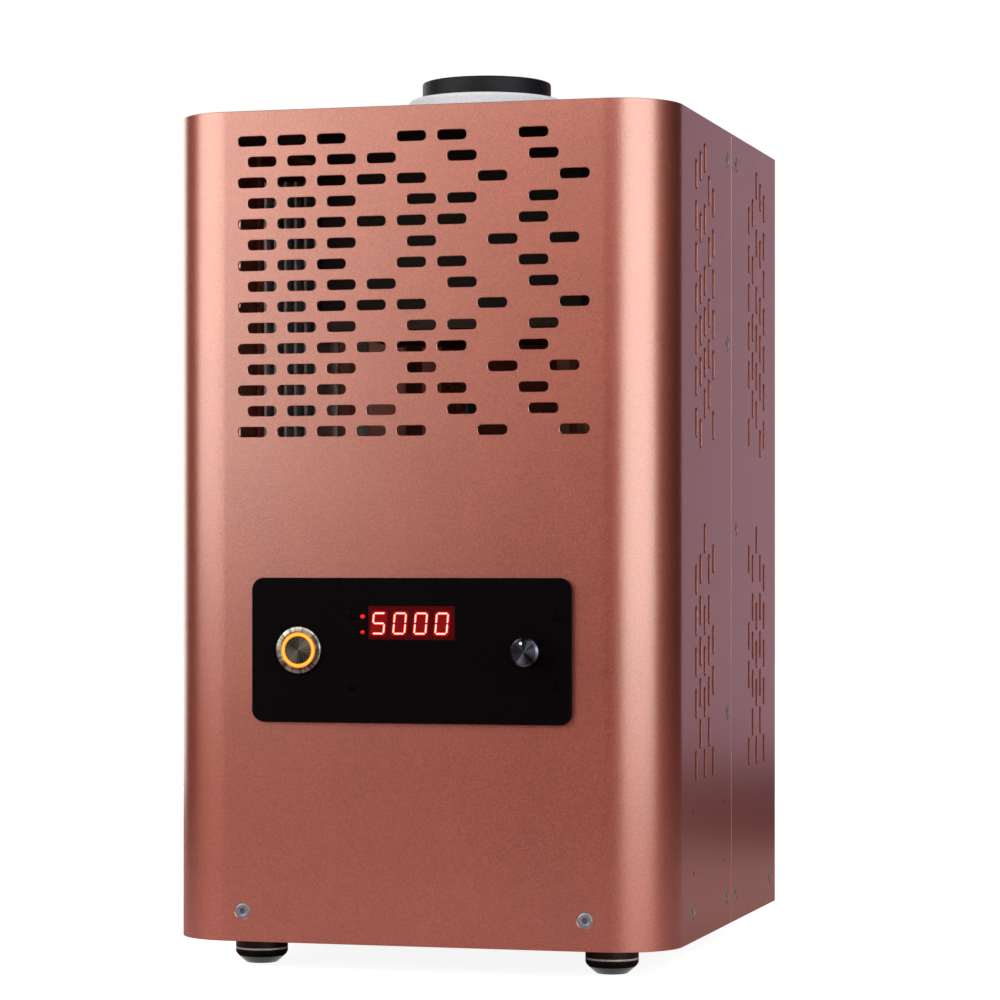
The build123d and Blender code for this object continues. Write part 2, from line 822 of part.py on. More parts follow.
# Induction coil: copper tube in straight runs, with two leads to the rear
coil_low = hearth_top + coil_lift
coil_high = coil_low + (coil_turns + 0.5) * coil_pitch
coil_points = [(-coil_radius, lead_y, coil_low)]
for step in range(int((coil_turns + 0.5) * coil_sides) + 1):
    angle = radians(180 + step * 360 / coil_sides)
    rise = step * coil_pitch / coil_sides
    coil_points.append(
        (coil_radius * cos(angle), melt_y + coil_radius * sin(angle), coil_low + rise)
    )
coil_points.append((coil_radius, lead_y, coil_high))
with BuildPart() as induction_coil:
    with BuildLine():
        Polyline(*coil_points)
    with BuildSketch(facing(lead_y)):
        with Locations((-coil_radius, coil_low)):
            RegularPolygon(coil_tube_radius, 6)
    sweep(transition=Transition.RIGHT)
induction_coil.part.label = "induction_coil"
export_step(induction_coil.part, "parts/induction_coil.step")

with BuildPart() as coil_shield:
    with BuildSketch(Plane.XY.offset(board_top)):
        with Locations((0, melt_y)):
            Rectangle(shield_width, shield_depth)
            Rectangle(
                shield_width - 2 * shield_wall, shield_depth - 2 * shield_wall, mode=Mode.SUBTRACT
            )
    extrude(amount=plate_z - board_top)
    with BuildSketch(facing(melt_y + shield_depth / 2)):
        with Locations((-coil_radius, coil_low), (coil_radius, coil_high)):
            Rectangle(4 * coil_tube_radius, 4 * coil_tube_radius)
    extrude(amount=2 * shield_wall, mode=Mode.SUBTRACT)
coil_shield.part.label = "coil_shield"
export_step(coil_shield.part, "parts/coil_shield.step")

lead_levels = {-1: coil_low, 1: coil_high}
with BuildPart() as coil_terminals:
    for side in (-1, 1):
        with Locations((side * coil_radius, busbar_y, lead_levels[side])):
            Box(terminal_width, terminal_length, terminal_height)
coil_terminals.part.label = "coil_terminals"
export_step(coil_terminals.part, "parts/coil_terminals.step")

# Power electronics
sink_y = front_y + heat_sink_setback
sink_base_y = (sink_y + heat_sink_depth - heat_sink_base, sink_y + heat_sink_depth)
with BuildPart(Plane.XY.offset(shelf_z + sheet)) as heat_sink:
    sink_x = (heat_sink_x - heat_sink_width / 2, heat_sink_x + heat_sink_width / 2)
    block(sink_x, sink_base_y, (0, heat_sink_height))
    fin_count = int(heat_sink_width / fin_pitch) + 1
    with Locations((heat_sink_x, (sink_y + sink_base_y[0]) / 2)):
        with GridLocations(fin_pitch, 1, fin_count, 1):
            Box(fin_thickness, sink_base_y[0] - sink_y, heat_sink_height, align=upward)
heat_sink.part.label = "heat_sink"
export_step(heat_sink.part, "parts/heat_sink.step")

with BuildPart(Plane((heat_sink_x, sink_base_y[1], shelf_z + sheet))) as power_modules:
    for number in range(2):
        with Locations((0, module_depth / 2, module_gap + number * (module_height + module_gap))):
            Box(module_width, module_depth, module_height, align=upward)
power_modules.part.label = "power_modules"
export_step(power_modules.part, "parts/power_modules.step")

power_board_y = front_y + power_board_setback + power_board_depth / 2
with BuildPart() as power_spacers:
    with BuildSketch(Plane((power_board_x, power_board_y, floor_z))):
        with GridLocations(
            power_board_width - 2 * board_margin, power_board_depth - 2 * board_margin, 2, 2
        ):
            RegularPolygon(spacer_radius, 6)
    extrude(amount=power_spacer_height)
power_spacers.part.label = "power_spacers"
export_step(power_spacers.part, "parts/power_spacers.step")

power_board_top = floor_z + power_spacer_height + board_thickness
with BuildPart(Plane((power_board_x, power_board_y, power_board_top))) as power_board:
    Box(power_board_width, power_board_depth, board_thickness, align=downward)
power_board.part.label = "power_board"
export_step(power_board.part, "parts/power_board.step")

with BuildPart(Plane((power_board_x, power_board_y, power_board_top))) as filter_capacitors:
    with GridLocations(filter_pitch, filter_pitch, 2, 1):
        Box(filter_width, filter_depth, filter_height, align=upward)
filter_capacitors.part.label = "filter_capacitors"
export_step(filter_capacitors.part, "parts/filter_capacitors.step")

with BuildPart(Plane((0, busbar_y, floor_z))) as capacitor_bank:
    Box(bank_width, bank_depth, bank_height, align=upward)
capacitor_bank.part.label = "capacitor_bank"
export_step(capacitor_bank.part, "parts/capacitor_bank.step")

with BuildPart() as busbars:
    for side in (-1, 1):
        edges = (side * coil_radius - busbar_width / 2, side * coil_radius + busbar_width / 2)
        faces = (busbar_y - busbar_thickness / 2, busbar_y + busbar_thickness / 2)
        block(edges, faces, (floor_z + bank_height, lead_levels[side] - terminal_height / 2))
busbars.part.label = "busbars"
export_step(busbars.part, "parts/busbars.step")

inductor_y = front_y + inductor_setback + inductor_depth / 2
with BuildPart(Plane((inductor_x, inductor_y, floor_z))) as inductor_core:
    Box(inductor_width, inductor_depth, inductor_height, align=upward)
    for side in (-1, 1):
        with Locations((side * inductor_width / 4, 0, inductor_window / 2)):
            Box(
                inductor_window,
                inductor_depth,
                inductor_height - inductor_window,
                align=upward,
                mode=Mode.SUBTRACT,
            )
inductor_core.part.label = "inductor_core"
export_step(inductor_core.part, "parts/inductor_core.step")

# Cooling: fan and radiator on the rear wall, tank, pump and hoses
fan_y = rear_y - inset
fan_plane = Plane((fan_x, fan_y, fan_z), x_dir=(1, 0, 0), z_dir=(0, -1, 0))
with BuildPart(fan_plane) as fan_frame:
    Box(fan_size, fan_size, fan_depth, align=upward)
    with BuildSketch(fan_plane):
        RegularPolygon(fan_bore, fan_sides)
    extrude(amount=fan_depth, mode=Mode.SUBTRACT)
    with Locations((0, 0, fan_depth)):
        Box(fan_size - fan_plate, fan_strut, fan_plate, align=downward)
        Box(fan_strut, fan_size - fan_plate, fan_plate, align=downward)
    with Locations((0, 0, fan_depth - fan_plate)):
        Cylinder(fan_spindle_radius, fan_hub_length, align=downward)
fan_frame.part.label = "fan_frame"
export_step(fan_frame.part, "parts/fan_frame.step")

with BuildPart(fan_plane.offset(fan_depth - fan_plate - frame_gap)) as fan_rotor:
    with BuildSketch(fan_plane.offset(fan_depth - fan_plate - frame_gap)):
        RegularPolygon(fan_hub_radius, 2 * fan_blade_count)
    extrude(amount=-fan_hub_length)
    with Locations((0, 0, -fan_hub_length / 2)):
        with PolarLocations((fan_hub_radius + fan_blade_tip) / 2, fan_blade_count):
            Box(
                fan_blade_tip - fan_hub_radius + fan_blade_thickness,
                fan_blade_width,
                fan_blade_thickness,
                rotation=(fan_blade_pitch, 0, 0),
            )
    Cylinder(
        fan_spindle_radius + contact_gap, fan_hub_length, align=downward, mode=Mode.SUBTRACT
    )
fan_rotor.part.label = "fan_rotor"
export_step(fan_rotor.part, "parts/fan_rotor.step")

with BuildPart(Plane((fan_x, rear_y, fan_z), x_dir=(-1, 0, 0), z_dir=(0, 1, 0))) as fan_guard:
    guard_inner = guard_size - 2 * guard_border
    Box(guard_size, guard_size, guard_depth, align=upward)
    Box(guard_inner, guard_inner, guard_depth, align=upward, mode=Mode.SUBTRACT)
    with Locations((0, 0, guard_depth / 2)):
        with GridLocations(1, guard_inner / (guard_slat_count + 1), 1, guard_slat_count):
            Box(guard_inner, guard_slat, guard_depth)
fan_guard.part.label = "fan_guard"
export_step(fan_guard.part, "parts/fan_guard.step")

radiator_plane = fan_plane.offset(fan_depth)
with BuildPart(radiator_plane) as radiator:
    core = fan_size - 2 * radiator_tank
    for side in (-1, 1):
        with Locations((0, side * (fan_size - radiator_tank) / 2, 0)):
            Box(fan_size, radiator_tank, radiator_depth, align=upward)
    with GridLocations((fan_size - radiator_fin) / (radiator_fin_count - 1), 1, radiator_fin_count, 1):
        Box(radiator_fin, core, radiator_depth, align=upward)
radiator.part.label = "radiator"
export_step(radiator.part, "parts/radiator.step")

tank_y = front_y + tank_setback + tank_depth / 2
with BuildPart(Plane((tank_x, tank_y, floor_z))) as water_tank:
    Box(tank_width, tank_depth, tank_height, align=upward)
    chamfer(water_tank.edges().filter_by(Axis.Z), length=tank_edge)
water_tank.part.label = "water_tank"
export_step(water_tank.part, "parts/water_tank.step")

filler_low = floor_z + tank_height
with BuildPart() as filler_pipe:
    with BuildSketch(Plane((filler_x, filler_y, filler_low))):
        RegularPolygon(filler_radius, shaft_sides)
        RegularPolygon(filler_radius - filler_wall, shaft_sides, mode=Mode.SUBTRACT)
    extrude(amount=plate_z + top_sheet - filler_low)
filler_pipe.part.label = "filler_pipe"
export_step(filler_pipe.part, "parts/filler_pipe.step")

with BuildPart() as filler_cap:
    with BuildSketch(Plane.XY.offset(plate_z + top_sheet)):
        with Locations((filler_x, filler_y)):
            RegularPolygon(cap_radius, 8)
    extrude(amount=cap_height)
filler_cap.part.label = "filler_cap"
export_step(filler_cap.part, "parts/filler_cap.step")

with BuildPart(Plane((pump_x, pump_y, floor_z))) as pump:
    Box(pump_width, pump_depth, pump_height, align=upward)
    chamfer(pump.edges().filter_by(Axis.Y), length=tank_edge)
pump.part.label = "pump"
export_step(pump.part, "parts/pump.step")


# Hoses in straight runs with an elbow at each turn
def make_hose(*points):
    with BuildPart() as hose:
        with BuildLine() as route:
            Polyline(*points)
        with BuildSketch(Plane(points[0], z_dir=route.line % 0)):
            RegularPolygon(hose_radius, 8)
        sweep(transition=Transition.RIGHT)
    return hose


terminal_rear = lead_y + terminal_length
pump_hose = make_hose(
    (-coil_radius, terminal_rear, coil_low),
    (-coil_radius, pump_y, coil_low),
    (-coil_radius, pump_y, floor_z + pump_height),
)
pump_hose.part.label = "pump_hose"
export_step(pump_hose.part, "parts/pump_hose.step")

radiator_hose = make_hose(
    (coil_radius, terminal_rear, coil_high),
    (coil_radius, radiator_y, coil_high),
    (coil_radius, radiator_y, fan_z + fan_size / 2),
)
radiator_hose.part.label = "radiator_hose"
export_step(radiator_hose.part, "parts/radiator_hose.step")

tank_rear = tank_y + tank_depth / 2
return_z = floor_z + return_hose_height
radiator_outlet_x = fan_x - fan_size / 2 + radiator_tank
return_hose = make_hose(
    (radiator_outlet_x, radiator_y, fan_z - fan_size / 2),
    (radiator_outlet_x, radiator_y, return_z),
    (tank_x, radiator_y, return_z),
    (tank_x, tank_rear, return_z),
)
return_hose.part.label = "return_hose"
export_step(return_hose.part, "parts/return_hose.step")

tank_hose_z = floor_z + tank_hose_height
tank_hose = make_hose(
    (tank_x, tank_rear, tank_hose_z),
    (tank_x, pump_y, tank_hose_z),
    (pump_x - pump_width / 2, pump_y, tank_hose_z),
)
tank_hose.part.label = "tank_hose"
export_step(tank_hose.part, "parts/tank_hose.step")

# Mains inlet: cable gland, terminal block and circuit breaker
with BuildPart() as cable_gland:
    with BuildSketch(facing(rear_y + gland_flange)):
        with Locations((inlet_x, gland_z)):
            RegularPolygon(gland_flange_radius, 6)
    extrude(amount=gland_flange)
    with BuildSketch(facing(rear_y + gland_flange + gland_nut)):
        with Locations((inlet_x, gland_z)):
            RegularPolygon(gland_nut_radius, 6)
    extrude(amount=gland_nut)
    with BuildSketch(facing(rear_y)):
        with Locations((inlet_x, gland_z)):
            RegularPolygon(gland_thread_radius, shaft_sides)
    extrude(amount=gland_inside)
    with BuildSketch(facing(rear_y + gland_flange + gland_nut)):
        with Locations((inlet_x, gland_z)):
            RegularPolygon(gland_bore, shaft_sides)
    extrude(amount=gland_flange + gland_nut + gland_inside, mode=Mode.SUBTRACT)
cable_gland.part.label = "cable_gland"
export_step(cable_gland.part, "parts/cable_gland.step")

breaker_face = rear_y + breaker_proud
drum_y = breaker_face - lever_drum_radius
breaker_x = (inlet_x - breaker_width / 2, inlet_x + breaker_width / 2)
well_x = (inlet_x - breaker_well_width / 2, inlet_x + breaker_well_width / 2)
with BuildPart() as circuit_breaker:
    nose_z = (breaker_z - breaker_nose / 2, breaker_z + breaker_nose / 2)
    body_z = (breaker_z - breaker_body / 2, breaker_z + breaker_body / 2)
    well_z = (breaker_z - breaker_well_height / 2, breaker_z + breaker_well_height / 2)
    block(breaker_x, (breaker_face - breaker_step, breaker_face), nose_z)
    block(breaker_x, (breaker_face - breaker_depth, breaker_face - breaker_step), body_z)
    block(well_x, (drum_y - lever_drum_radius - frame_gap, breaker_face), well_z, mode=Mode.SUBTRACT)
circuit_breaker.part.label = "circuit_breaker"
export_step(circuit_breaker.part, "parts/circuit_breaker.step")

with BuildPart(Plane((inlet_x, drum_y, breaker_z))) as breaker_lever:
    with BuildSketch(Plane.YZ.offset(inlet_x)):
        with Locations((drum_y, breaker_z)):
            RegularPolygon(lever_drum_radius, 12)
    extrude(amount=breaker_well_width / 2 - contact_gap, both=True)
    with Locations(Rotation(lever_rest, 0, 0)):
        Box(
            breaker_well_width - 2 * contact_gap,
            lever_reach,
            lever_thickness,
            align=(Align.CENTER, Align.MIN, Align.CENTER),
        )
breaker_lever.part.label = "breaker_lever"
export_step(breaker_lever.part, "parts/breaker_lever.step")

terminal_block_y = rear_y - inset - sheet - terminal_block_rear_gap - terminal_block_depth / 2
with BuildPart(Plane((terminal_block_x, terminal_block_y, floor_z))) as terminal_block:
    Box(terminal_block_width, terminal_block_depth, terminal_block_height, align=upward)
terminal_block.part.label = "terminal_block"
export_step(terminal_block.part, "parts/terminal_block.step")
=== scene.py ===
import bmesh
import bpy
import json
import math
from mathutils import Matrix, Vector


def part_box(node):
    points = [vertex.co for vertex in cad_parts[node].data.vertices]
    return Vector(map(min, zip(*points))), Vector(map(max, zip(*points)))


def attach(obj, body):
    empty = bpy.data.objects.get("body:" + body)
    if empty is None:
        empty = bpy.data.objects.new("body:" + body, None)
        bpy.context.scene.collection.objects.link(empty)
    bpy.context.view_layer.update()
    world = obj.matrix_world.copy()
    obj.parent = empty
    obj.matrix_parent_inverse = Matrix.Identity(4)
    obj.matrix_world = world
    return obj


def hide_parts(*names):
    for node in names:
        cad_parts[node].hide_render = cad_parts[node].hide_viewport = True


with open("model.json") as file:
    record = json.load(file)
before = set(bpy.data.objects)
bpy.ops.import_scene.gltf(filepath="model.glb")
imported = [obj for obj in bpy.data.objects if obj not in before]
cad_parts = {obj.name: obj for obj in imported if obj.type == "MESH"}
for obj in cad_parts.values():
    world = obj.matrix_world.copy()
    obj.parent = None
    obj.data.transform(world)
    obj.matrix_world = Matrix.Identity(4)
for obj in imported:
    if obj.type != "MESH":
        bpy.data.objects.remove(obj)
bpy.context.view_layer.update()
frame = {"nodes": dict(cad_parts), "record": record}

scene = bpy.context.scene
mm = 0.001

# where the case stands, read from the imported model
coverLow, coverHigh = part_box("front_cover")
rearLow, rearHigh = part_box("rear_cover")
case = {
    "left": coverLow.x,
    "right": coverHigh.x,
    "front": coverLow.y,
    "rear": rearHigh.y,
    "seamFront": coverHigh.y,
    "seamRear": rearLow.y,
    "bottom": coverLow.z,
    "top": coverHigh.z,
    "sheet": 2 * mm,
    "edge": 0.25 * mm,  # the small break on every cut edge
    "seamEdge": 0.6 * mm,  # the rounder one where the covers meet
}


# helpers for nodes, meshes and pieces

def hexColour(code):  # sRGB hex to the linear values that nodes take
    parts = [int(code[i:i + 2], 16) / 255 for i in (1, 3, 5)]
    return [p / 12.92 if p <= 0.04045 else ((p + 0.055) / 1.055) ** 2.4 for p in parts] + [1.0]


def addNode(tree, kind, inputs=None, stops=None, **settings):
    node = tree.nodes.new(kind)
    for name, value in settings.items():
        setattr(node, name, value)
    if stops:  # of a colour ramp, as places and hex colours
        ramp = node.color_ramp
        while len(ramp.elements) < len(stops):
            ramp.elements.new(1.0)
        for element, (place, colour) in zip(ramp.elements, stops):
            element.position = place
            element.color = hexColour(colour)
    for socket, value in (inputs or {}).items():
        if isinstance(value, bpy.types.NodeSocket):
            tree.links.new(value, node.inputs[socket])
        else:
            node.inputs[socket].default_value = value
    return node


def newPiece(name, mesh):
    piece = bpy.data.objects.new(name, mesh)
    scene.collection.objects.link(piece)
    return piece


def meshFrom(name, points, faces):
    build = bmesh.new()
    verts = [build.verts.new(p) for p in points]
    for face in faces:
        build.faces.new([verts[i] for i in face])
    bmesh.ops.remove_doubles(build, verts=build.verts, dist=1e-7)
    bmesh.ops.recalc_face_normals(build, faces=build.faces)
    mesh = bpy.data.meshes.new(name)
    build.to_mesh(mesh)
    build.free()
    return mesh


def joinMeshes(name, meshes):
    build = bmesh.new()
    for mesh in meshes:
        build.from_mesh(mesh)
    joined = bpy.data.meshes.new(name)
    build.to_mesh(joined)
    build.free()
    return joined


def bakeMesh(piece, name):  # the piece with its modifiers, as a plain mesh
    depsgraph = bpy.context.evaluated_depsgraph_get()
    mesh = bpy.data.meshes.new_from_object(piece.evaluated_get(depsgraph), depsgraph=depsgraph)
    mesh.name = name
    return mesh


def discard(*pieces):
    for piece in pieces:
        bpy.data.objects.remove(piece)


def finishPiece(piece, body, slot, replaced=(), angle=32, material=None):
    piece.data.materials.clear()
    piece.data.materials.append(material or finishes[slot])
    piece.data.shade_smooth()
    piece.data.set_sharp_from_angle(angle=math.radians(angle))
    weights = piece.modifiers.new("flatFaces", "WEIGHTED_NORMAL")  # large faces stay flat beside small bevels
    weights.keep_sharp = True
    flat = bakeMesh(piece, piece.name)
    piece.modifiers.clear()
    piece.data = flat
    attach(piece, body)
    if replaced:
        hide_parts(*replaced)


def turnedMesh(name, profile, place, sides):  # a profile of radius and height, turned round local Z
    points, faces = [], []
    for radius, height in profile:
        for step in range(sides):
            angle = 2 * math.pi * step / sides
            points.append(place @ Vector((radius * math.cos(angle), radius * math.sin(angle), height)))
    for ring in range(len(profile) - 1):
        lower, upper = ring * sides, (ring + 1) * sides
        for step in range(sides):
            after = (step + 1) % sides
            corners = [lower + step, lower + after, upper + after, upper + step]
            if profile[ring][0] == 0:
                corners.pop(0)
            if profile[ring + 1][0] == 0:
                corners.pop(-1)
            faces.append(corners)
    return meshFrom(name, points, faces)


def turnedShape(name, profile, sides):
    return newPiece(name, turnedMesh(name, profile, Matrix.Identity(4), sides))


def turnedPiece(name, profile, place, sides, body, slot, replaced=(), angle=32, material=None):
    piece = newPiece(name, turnedMesh(name, profile, place, sides))
    finishPiece(piece, body, slot, replaced, angle, material)


def inMillimetres(*pairs):
    return [(first * mm, second * mm) for first, second in pairs]


def frontAt(x, y, z):  # local X to the right, Y up and Z out of the front
    return Matrix.Translation((x, y, z)) @ Matrix.Rotation(math.radians(90), 4, "X")


def middle(low, high):
    return (low + high) / 2


def roundedOutline(width, height, radius, steps, grow=0.0):  # points round a rounded rectangle
    points = []
    reach = radius + grow
    for corner, (sx, sy) in enumerate(((1, 1), (-1, 1), (-1, -1), (1, -1))):
        for step in range(steps + 1):
            angle = math.radians(90 * corner + 90 * step / steps)
            points.append((
                sx * (width / 2 - radius) + reach * math.cos(angle),
                sy * (height / 2 - radius) + reach * math.sin(angle),
            ))
    return points


def circleOutline(radius, sides=96, x=0.0, z=0.0, way=1):  # way is -1 for a hole in a curve
    angles = [way * 2 * math.pi * i / sides for i in range(sides)]
    return [(x + radius * math.cos(angle), z + radius * math.sin(angle)) for angle in angles]


def rectangleOutline(width, height):
    x, z = width / 2, height / 2
    return [(x, z), (-x, z), (-x, -z), (x, -z)]


def loftRings(name, rings):  # closed rings of the same count, capped at both ends
    count = len(rings[0])
    points = [p for ring in rings for p in ring]
    faces = [tuple(range(count)), tuple(range(len(points) - count, len(points)))]
    for ring in range(len(rings) - 1):
        lower, upper = ring * count, (ring + 1) * count
        for step in range(count):
            after = (step + 1) % count
            faces.append((lower + step, lower + after, upper + after, upper + step))
    return meshFrom(name, points, faces)


# trees that repeat a shape or cut a pattern of openings

def newTree(name, inputs):
    tree = bpy.data.node_groups.new(name, "GeometryNodeTree")
    tree.interface.new_socket("Geometry", in_out="INPUT", socket_type="NodeSocketGeometry")
    for label, kind in inputs:
        tree.interface.new_socket(label, in_out="INPUT", socket_type=kind)
    tree.interface.new_socket("Geometry", in_out="OUTPUT", socket_type="NodeSocketGeometry")
    return tree, addNode(tree, "NodeGroupInput")


def addTree(piece, tree, values):
    modifier = piece.modifiers.new(tree.name, "NODES")
    modifier.node_group = tree
    for item in tree.interface.items_tree:
        if item.in_out == "INPUT" and item.name in values:
            modifier[item.identifier] = values[item.name]


def copiesOn(tree, group, placesName, shapeName):  # the shape on each place, turned as the place says
    places = addNode(tree, "GeometryNodeObjectInfo", {"Object": group.outputs[placesName]})
    shape = addNode(tree, "GeometryNodeObjectInfo", {"Object": group.outputs[shapeName], "As Instance": True})
    turn = addNode(tree, "GeometryNodeInputNamedAttribute", {"Name": "turn"}, data_type="FLOAT_VECTOR")
    rotation = addNode(tree, "FunctionNodeEulerToRotation", {0: turn.outputs[0]})
    copies = addNode(tree, "GeometryNodeInstanceOnPoints", {
        "Points": places.outputs["Geometry"],
        "Instance": shape.outputs["Geometry"],
        "Rotation": rotation.outputs[0],
    })
    return copies.outputs["Instances"]


def finishTree(tree, group, geometry):
    plain = addNode(tree, "GeometryNodeRealizeInstances", {"Geometry": geometry})
    painted = addNode(tree, "GeometryNodeSetMaterial", {
        "Geometry": plain.outputs[0], "Material": group.outputs["Material"],
    })
    addNode(tree, "NodeGroupOutput", {"Geometry": painted.outputs[0]})


repeatTree, group = newTree("repeatOnPlaces", [
    ("Places", "NodeSocketObject"), ("Shape", "NodeSocketObject"), ("Material", "NodeSocketMaterial"),
])
finishTree(repeatTree, group, copiesOn(repeatTree, group, "Places", "Shape"))

cutKinds = ("Slot", "Screw", "Pilot")
perforateTree, group = newTree("perforateSheet", [
    (kind + end, "NodeSocketObject") for kind in cutKinds for end in (" Places", " Cutter")
] + [("Openings", "NodeSocketObject"), ("Material", "NodeSocketMaterial")])
openings = addNode(perforateTree, "GeometryNodeObjectInfo", {"Object": group.outputs["Openings"]})
cutters = addNode(perforateTree, "GeometryNodeJoinGeometry")
cuts = [copiesOn(perforateTree, group, kind + " Places", kind + " Cutter") for kind in cutKinds]
for cut in cuts + [openings.outputs["Geometry"]]:
    perforateTree.links.new(cut, cutters.inputs[0])
allCuts = addNode(perforateTree, "GeometryNodeRealizeInstances", {"Geometry": cutters.outputs[0]})
sheetCut = addNode(perforateTree, "GeometryNodeMeshBoolean", {
    "Mesh 1": group.outputs["Geometry"], "Mesh 2": allCuts.outputs[0],
}, operation="DIFFERENCE", solver="EXACT")
finishTree(perforateTree, group, sheetCut.outputs[0])


def placesPiece(name, places):  # a point for each place, with the turn of what stands on it
    mesh = bpy.data.meshes.new(name)
    mesh.from_pydata([place for place, turn in places], [], [])
    turns = mesh.attributes.new("turn", "FLOAT_VECTOR", "POINT")
    for index, (place, turn) in enumerate(places):
        turns.data[index].vector = turn
    return newPiece(name, mesh)


def wallTurn(outward, along):  # local X runs along, and local Z points out of the wall
    across = Vector(outward).cross(Vector(along))
    return Matrix((along, across, outward)).transposed().to_euler()


def repeated(name, shape, places, slot, replaced=(), material=None):  # one piece on the housing
    spots = placesPiece(name + "Places", places)
    carrier = newPiece(name + "Carrier", bpy.data.meshes.new(name))
    addTree(carrier, repeatTree, {"Places": spots, "Shape": shape, "Material": material or finishes[slot]})
    piece = newPiece(name, bakeMesh(carrier, name))
    discard(carrier, spots, shape)
    finishPiece(piece, "housing", slot, replaced, material=material)


# materials: real finishes, each with the size of its grain; the spun ones also carry painted highlights and
# painted shade in their colour

def newMaterial(name, **values):
    material = bpy.data.materials.new(name)
    material.use_nodes = True
    tree = material.node_tree
    shader = tree.nodes["Principled BSDF"]
    for socket, value in values.items():
        shader.inputs[socket.replace("_", " ")].default_value = value
    place = addNode(tree, "ShaderNodeTexCoord").outputs["Object"]
    return material, tree, shader, place


def paint(tree, shader, value, low, high, dark, light):  # dark where the value is low, light where high
    share = addNode(tree, "ShaderNodeMapRange", {"Value": value, "From Min": low, "From Max": high})
    colour = addNode(tree, "ShaderNodeMix", {
        "Factor": share.outputs[0], 6: hexColour(dark), 7: hexColour(light),
    }, data_type="RGBA")
    tree.links.new(colour.outputs[2], shader.inputs["Base Color"])


def workedFinish(name, light, dark, grain, roughness, spread, depth, stretch=(1, 1, 1), **values):
    # two close colours and a roughness that vary over the grain, and a bump as deep as the grain
    material, tree, shader, place = newMaterial(name, **values)
    stretched = addNode(tree, "ShaderNodeMapping", {"Vector": place, "Scale": stretch})
    fine = addNode(tree, "ShaderNodeTexNoise", {
        "Vector": stretched.outputs[0], "Scale": 1 / grain, "Detail": 3.0,
    })
    broad = addNode(tree, "ShaderNodeTexNoise", {"Vector": place, "Scale": 1 / (grain * 60), "Detail": 2.0})
    blend = addNode(tree, "ShaderNodeMix", {"Factor": 0.15, 2: fine.outputs["Fac"], 3: broad.outputs["Fac"]})
    paint(tree, shader, blend.outputs[0], 0.35, 0.65, dark, light)
    sheen = addNode(tree, "ShaderNodeMapRange", {
        "Value": fine.outputs["Fac"], "From Min": 0.3, "From Max": 0.7,
        "To Min": roughness - spread, "To Max": roughness + spread,
    })
    relief = addNode(tree, "ShaderNodeBump", {"Height": fine.outputs["Fac"], "Distance": depth})
    tree.links.new(sheen.outputs[0], shader.inputs["Roughness"])
    tree.links.new(relief.outputs[0], shader.inputs["Normal"])
    tree.links.new(relief.outputs[0], shader.inputs["Coat Normal"])
    return material


def arms(tree, place, centre):  # the arm from a centre on the front, and its length
    local = addNode(tree, "ShaderNodeVectorMath", {0: place, 1: centre}, operation="SUBTRACT")
    flat = addNode(tree, "ShaderNodeVectorMath", {0: local.outputs[0], 1: (1, 0, 1)}, operation="MULTIPLY")
    reach = addNode(tree, "ShaderNodeVectorMath", {0: flat.outputs[0]}, operation="LENGTH")
    return flat, reach


def spunFinishPaintedHighlights(name, light, dark, centre, roughness, paintedStreaks):
    # metal faced on a lathe: fine rings round the centre, which fan the light out, and light and dark streaks
    # by the angle round the centre, painted into the colour as painted highlights and painted shade
    material, tree, shader, place = newMaterial(name, Metallic=1.0, Anisotropic=0.75)
    flat, reach = arms(tree, place, centre)
    rings = addNode(tree, "ShaderNodeTexNoise", {
        "W": reach.outputs["Value"], "Scale": 5000.0, "Detail": 2.0,  # a ring every 0.2 mm
    }, noise_dimensions="1D")
    unit = addNode(tree, "ShaderNodeVectorMath", {0: flat.outputs[0]}, operation="NORMALIZE")
    # painted highlights and painted shade: light and dark streaks in the colour, by the angle round the
    # centre
    paintedHighlightFan = addNode(tree, "ShaderNodeTexNoise", {"Vector": unit.outputs[0], "Scale": paintedStreaks, "Detail": 2.0})
    paint(tree, shader, paintedHighlightFan.outputs["Fac"], 0.36, 0.62, dark, light)
    sheen = addNode(tree, "ShaderNodeMapRange", {
        "Value": rings.outputs["Fac"], "To Min": roughness - 0.08, "To Max": roughness + 0.08,
    })
    across = addNode(tree, "ShaderNodeVectorMath", {
        0: flat.outputs[0], 1: (0, 1, 0),
    }, operation="CROSS_PRODUCT")
    along = addNode(tree, "ShaderNodeVectorMath", {0: across.outputs[0]}, operation="NORMALIZE")
    tangent = addNode(tree, "ShaderNodeVectorTransform", {
        0: along.outputs[0],
    }, vector_type="VECTOR", convert_from="OBJECT", convert_to="WORLD")
    tree.links.new(sheen.outputs[0], shader.inputs["Roughness"])
    tree.links.new(tangent.outputs[0], shader.inputs["Tangent"])
    return material


def litFinish(name, light, dark, strength, centre, inner, outer):
    # a lit light guide: palest halfway between its two edges
    material, tree, shader, place = newMaterial(name, Roughness=0.35, Specular_IOR_Level=0.05)
    flat, reach = arms(tree, place, centre)
    share = addNode(tree, "ShaderNodeMapRange", {
        "Value": reach.outputs["Value"], "From Min": inner, "From Max": outer,
    })
    ramp = addNode(tree, "ShaderNodeValToRGB", {
        "Fac": share.outputs[0],
    }, stops=[(0.0, dark), (0.3, light), (0.65, light), (1.0, dark)])
    tree.links.new(ramp.outputs[0], shader.inputs["Base Color"])
    tree.links.new(ramp.outputs[0], shader.inputs["Emission Color"])
    shader.inputs["Emission Strength"].default_value = strength
    return material


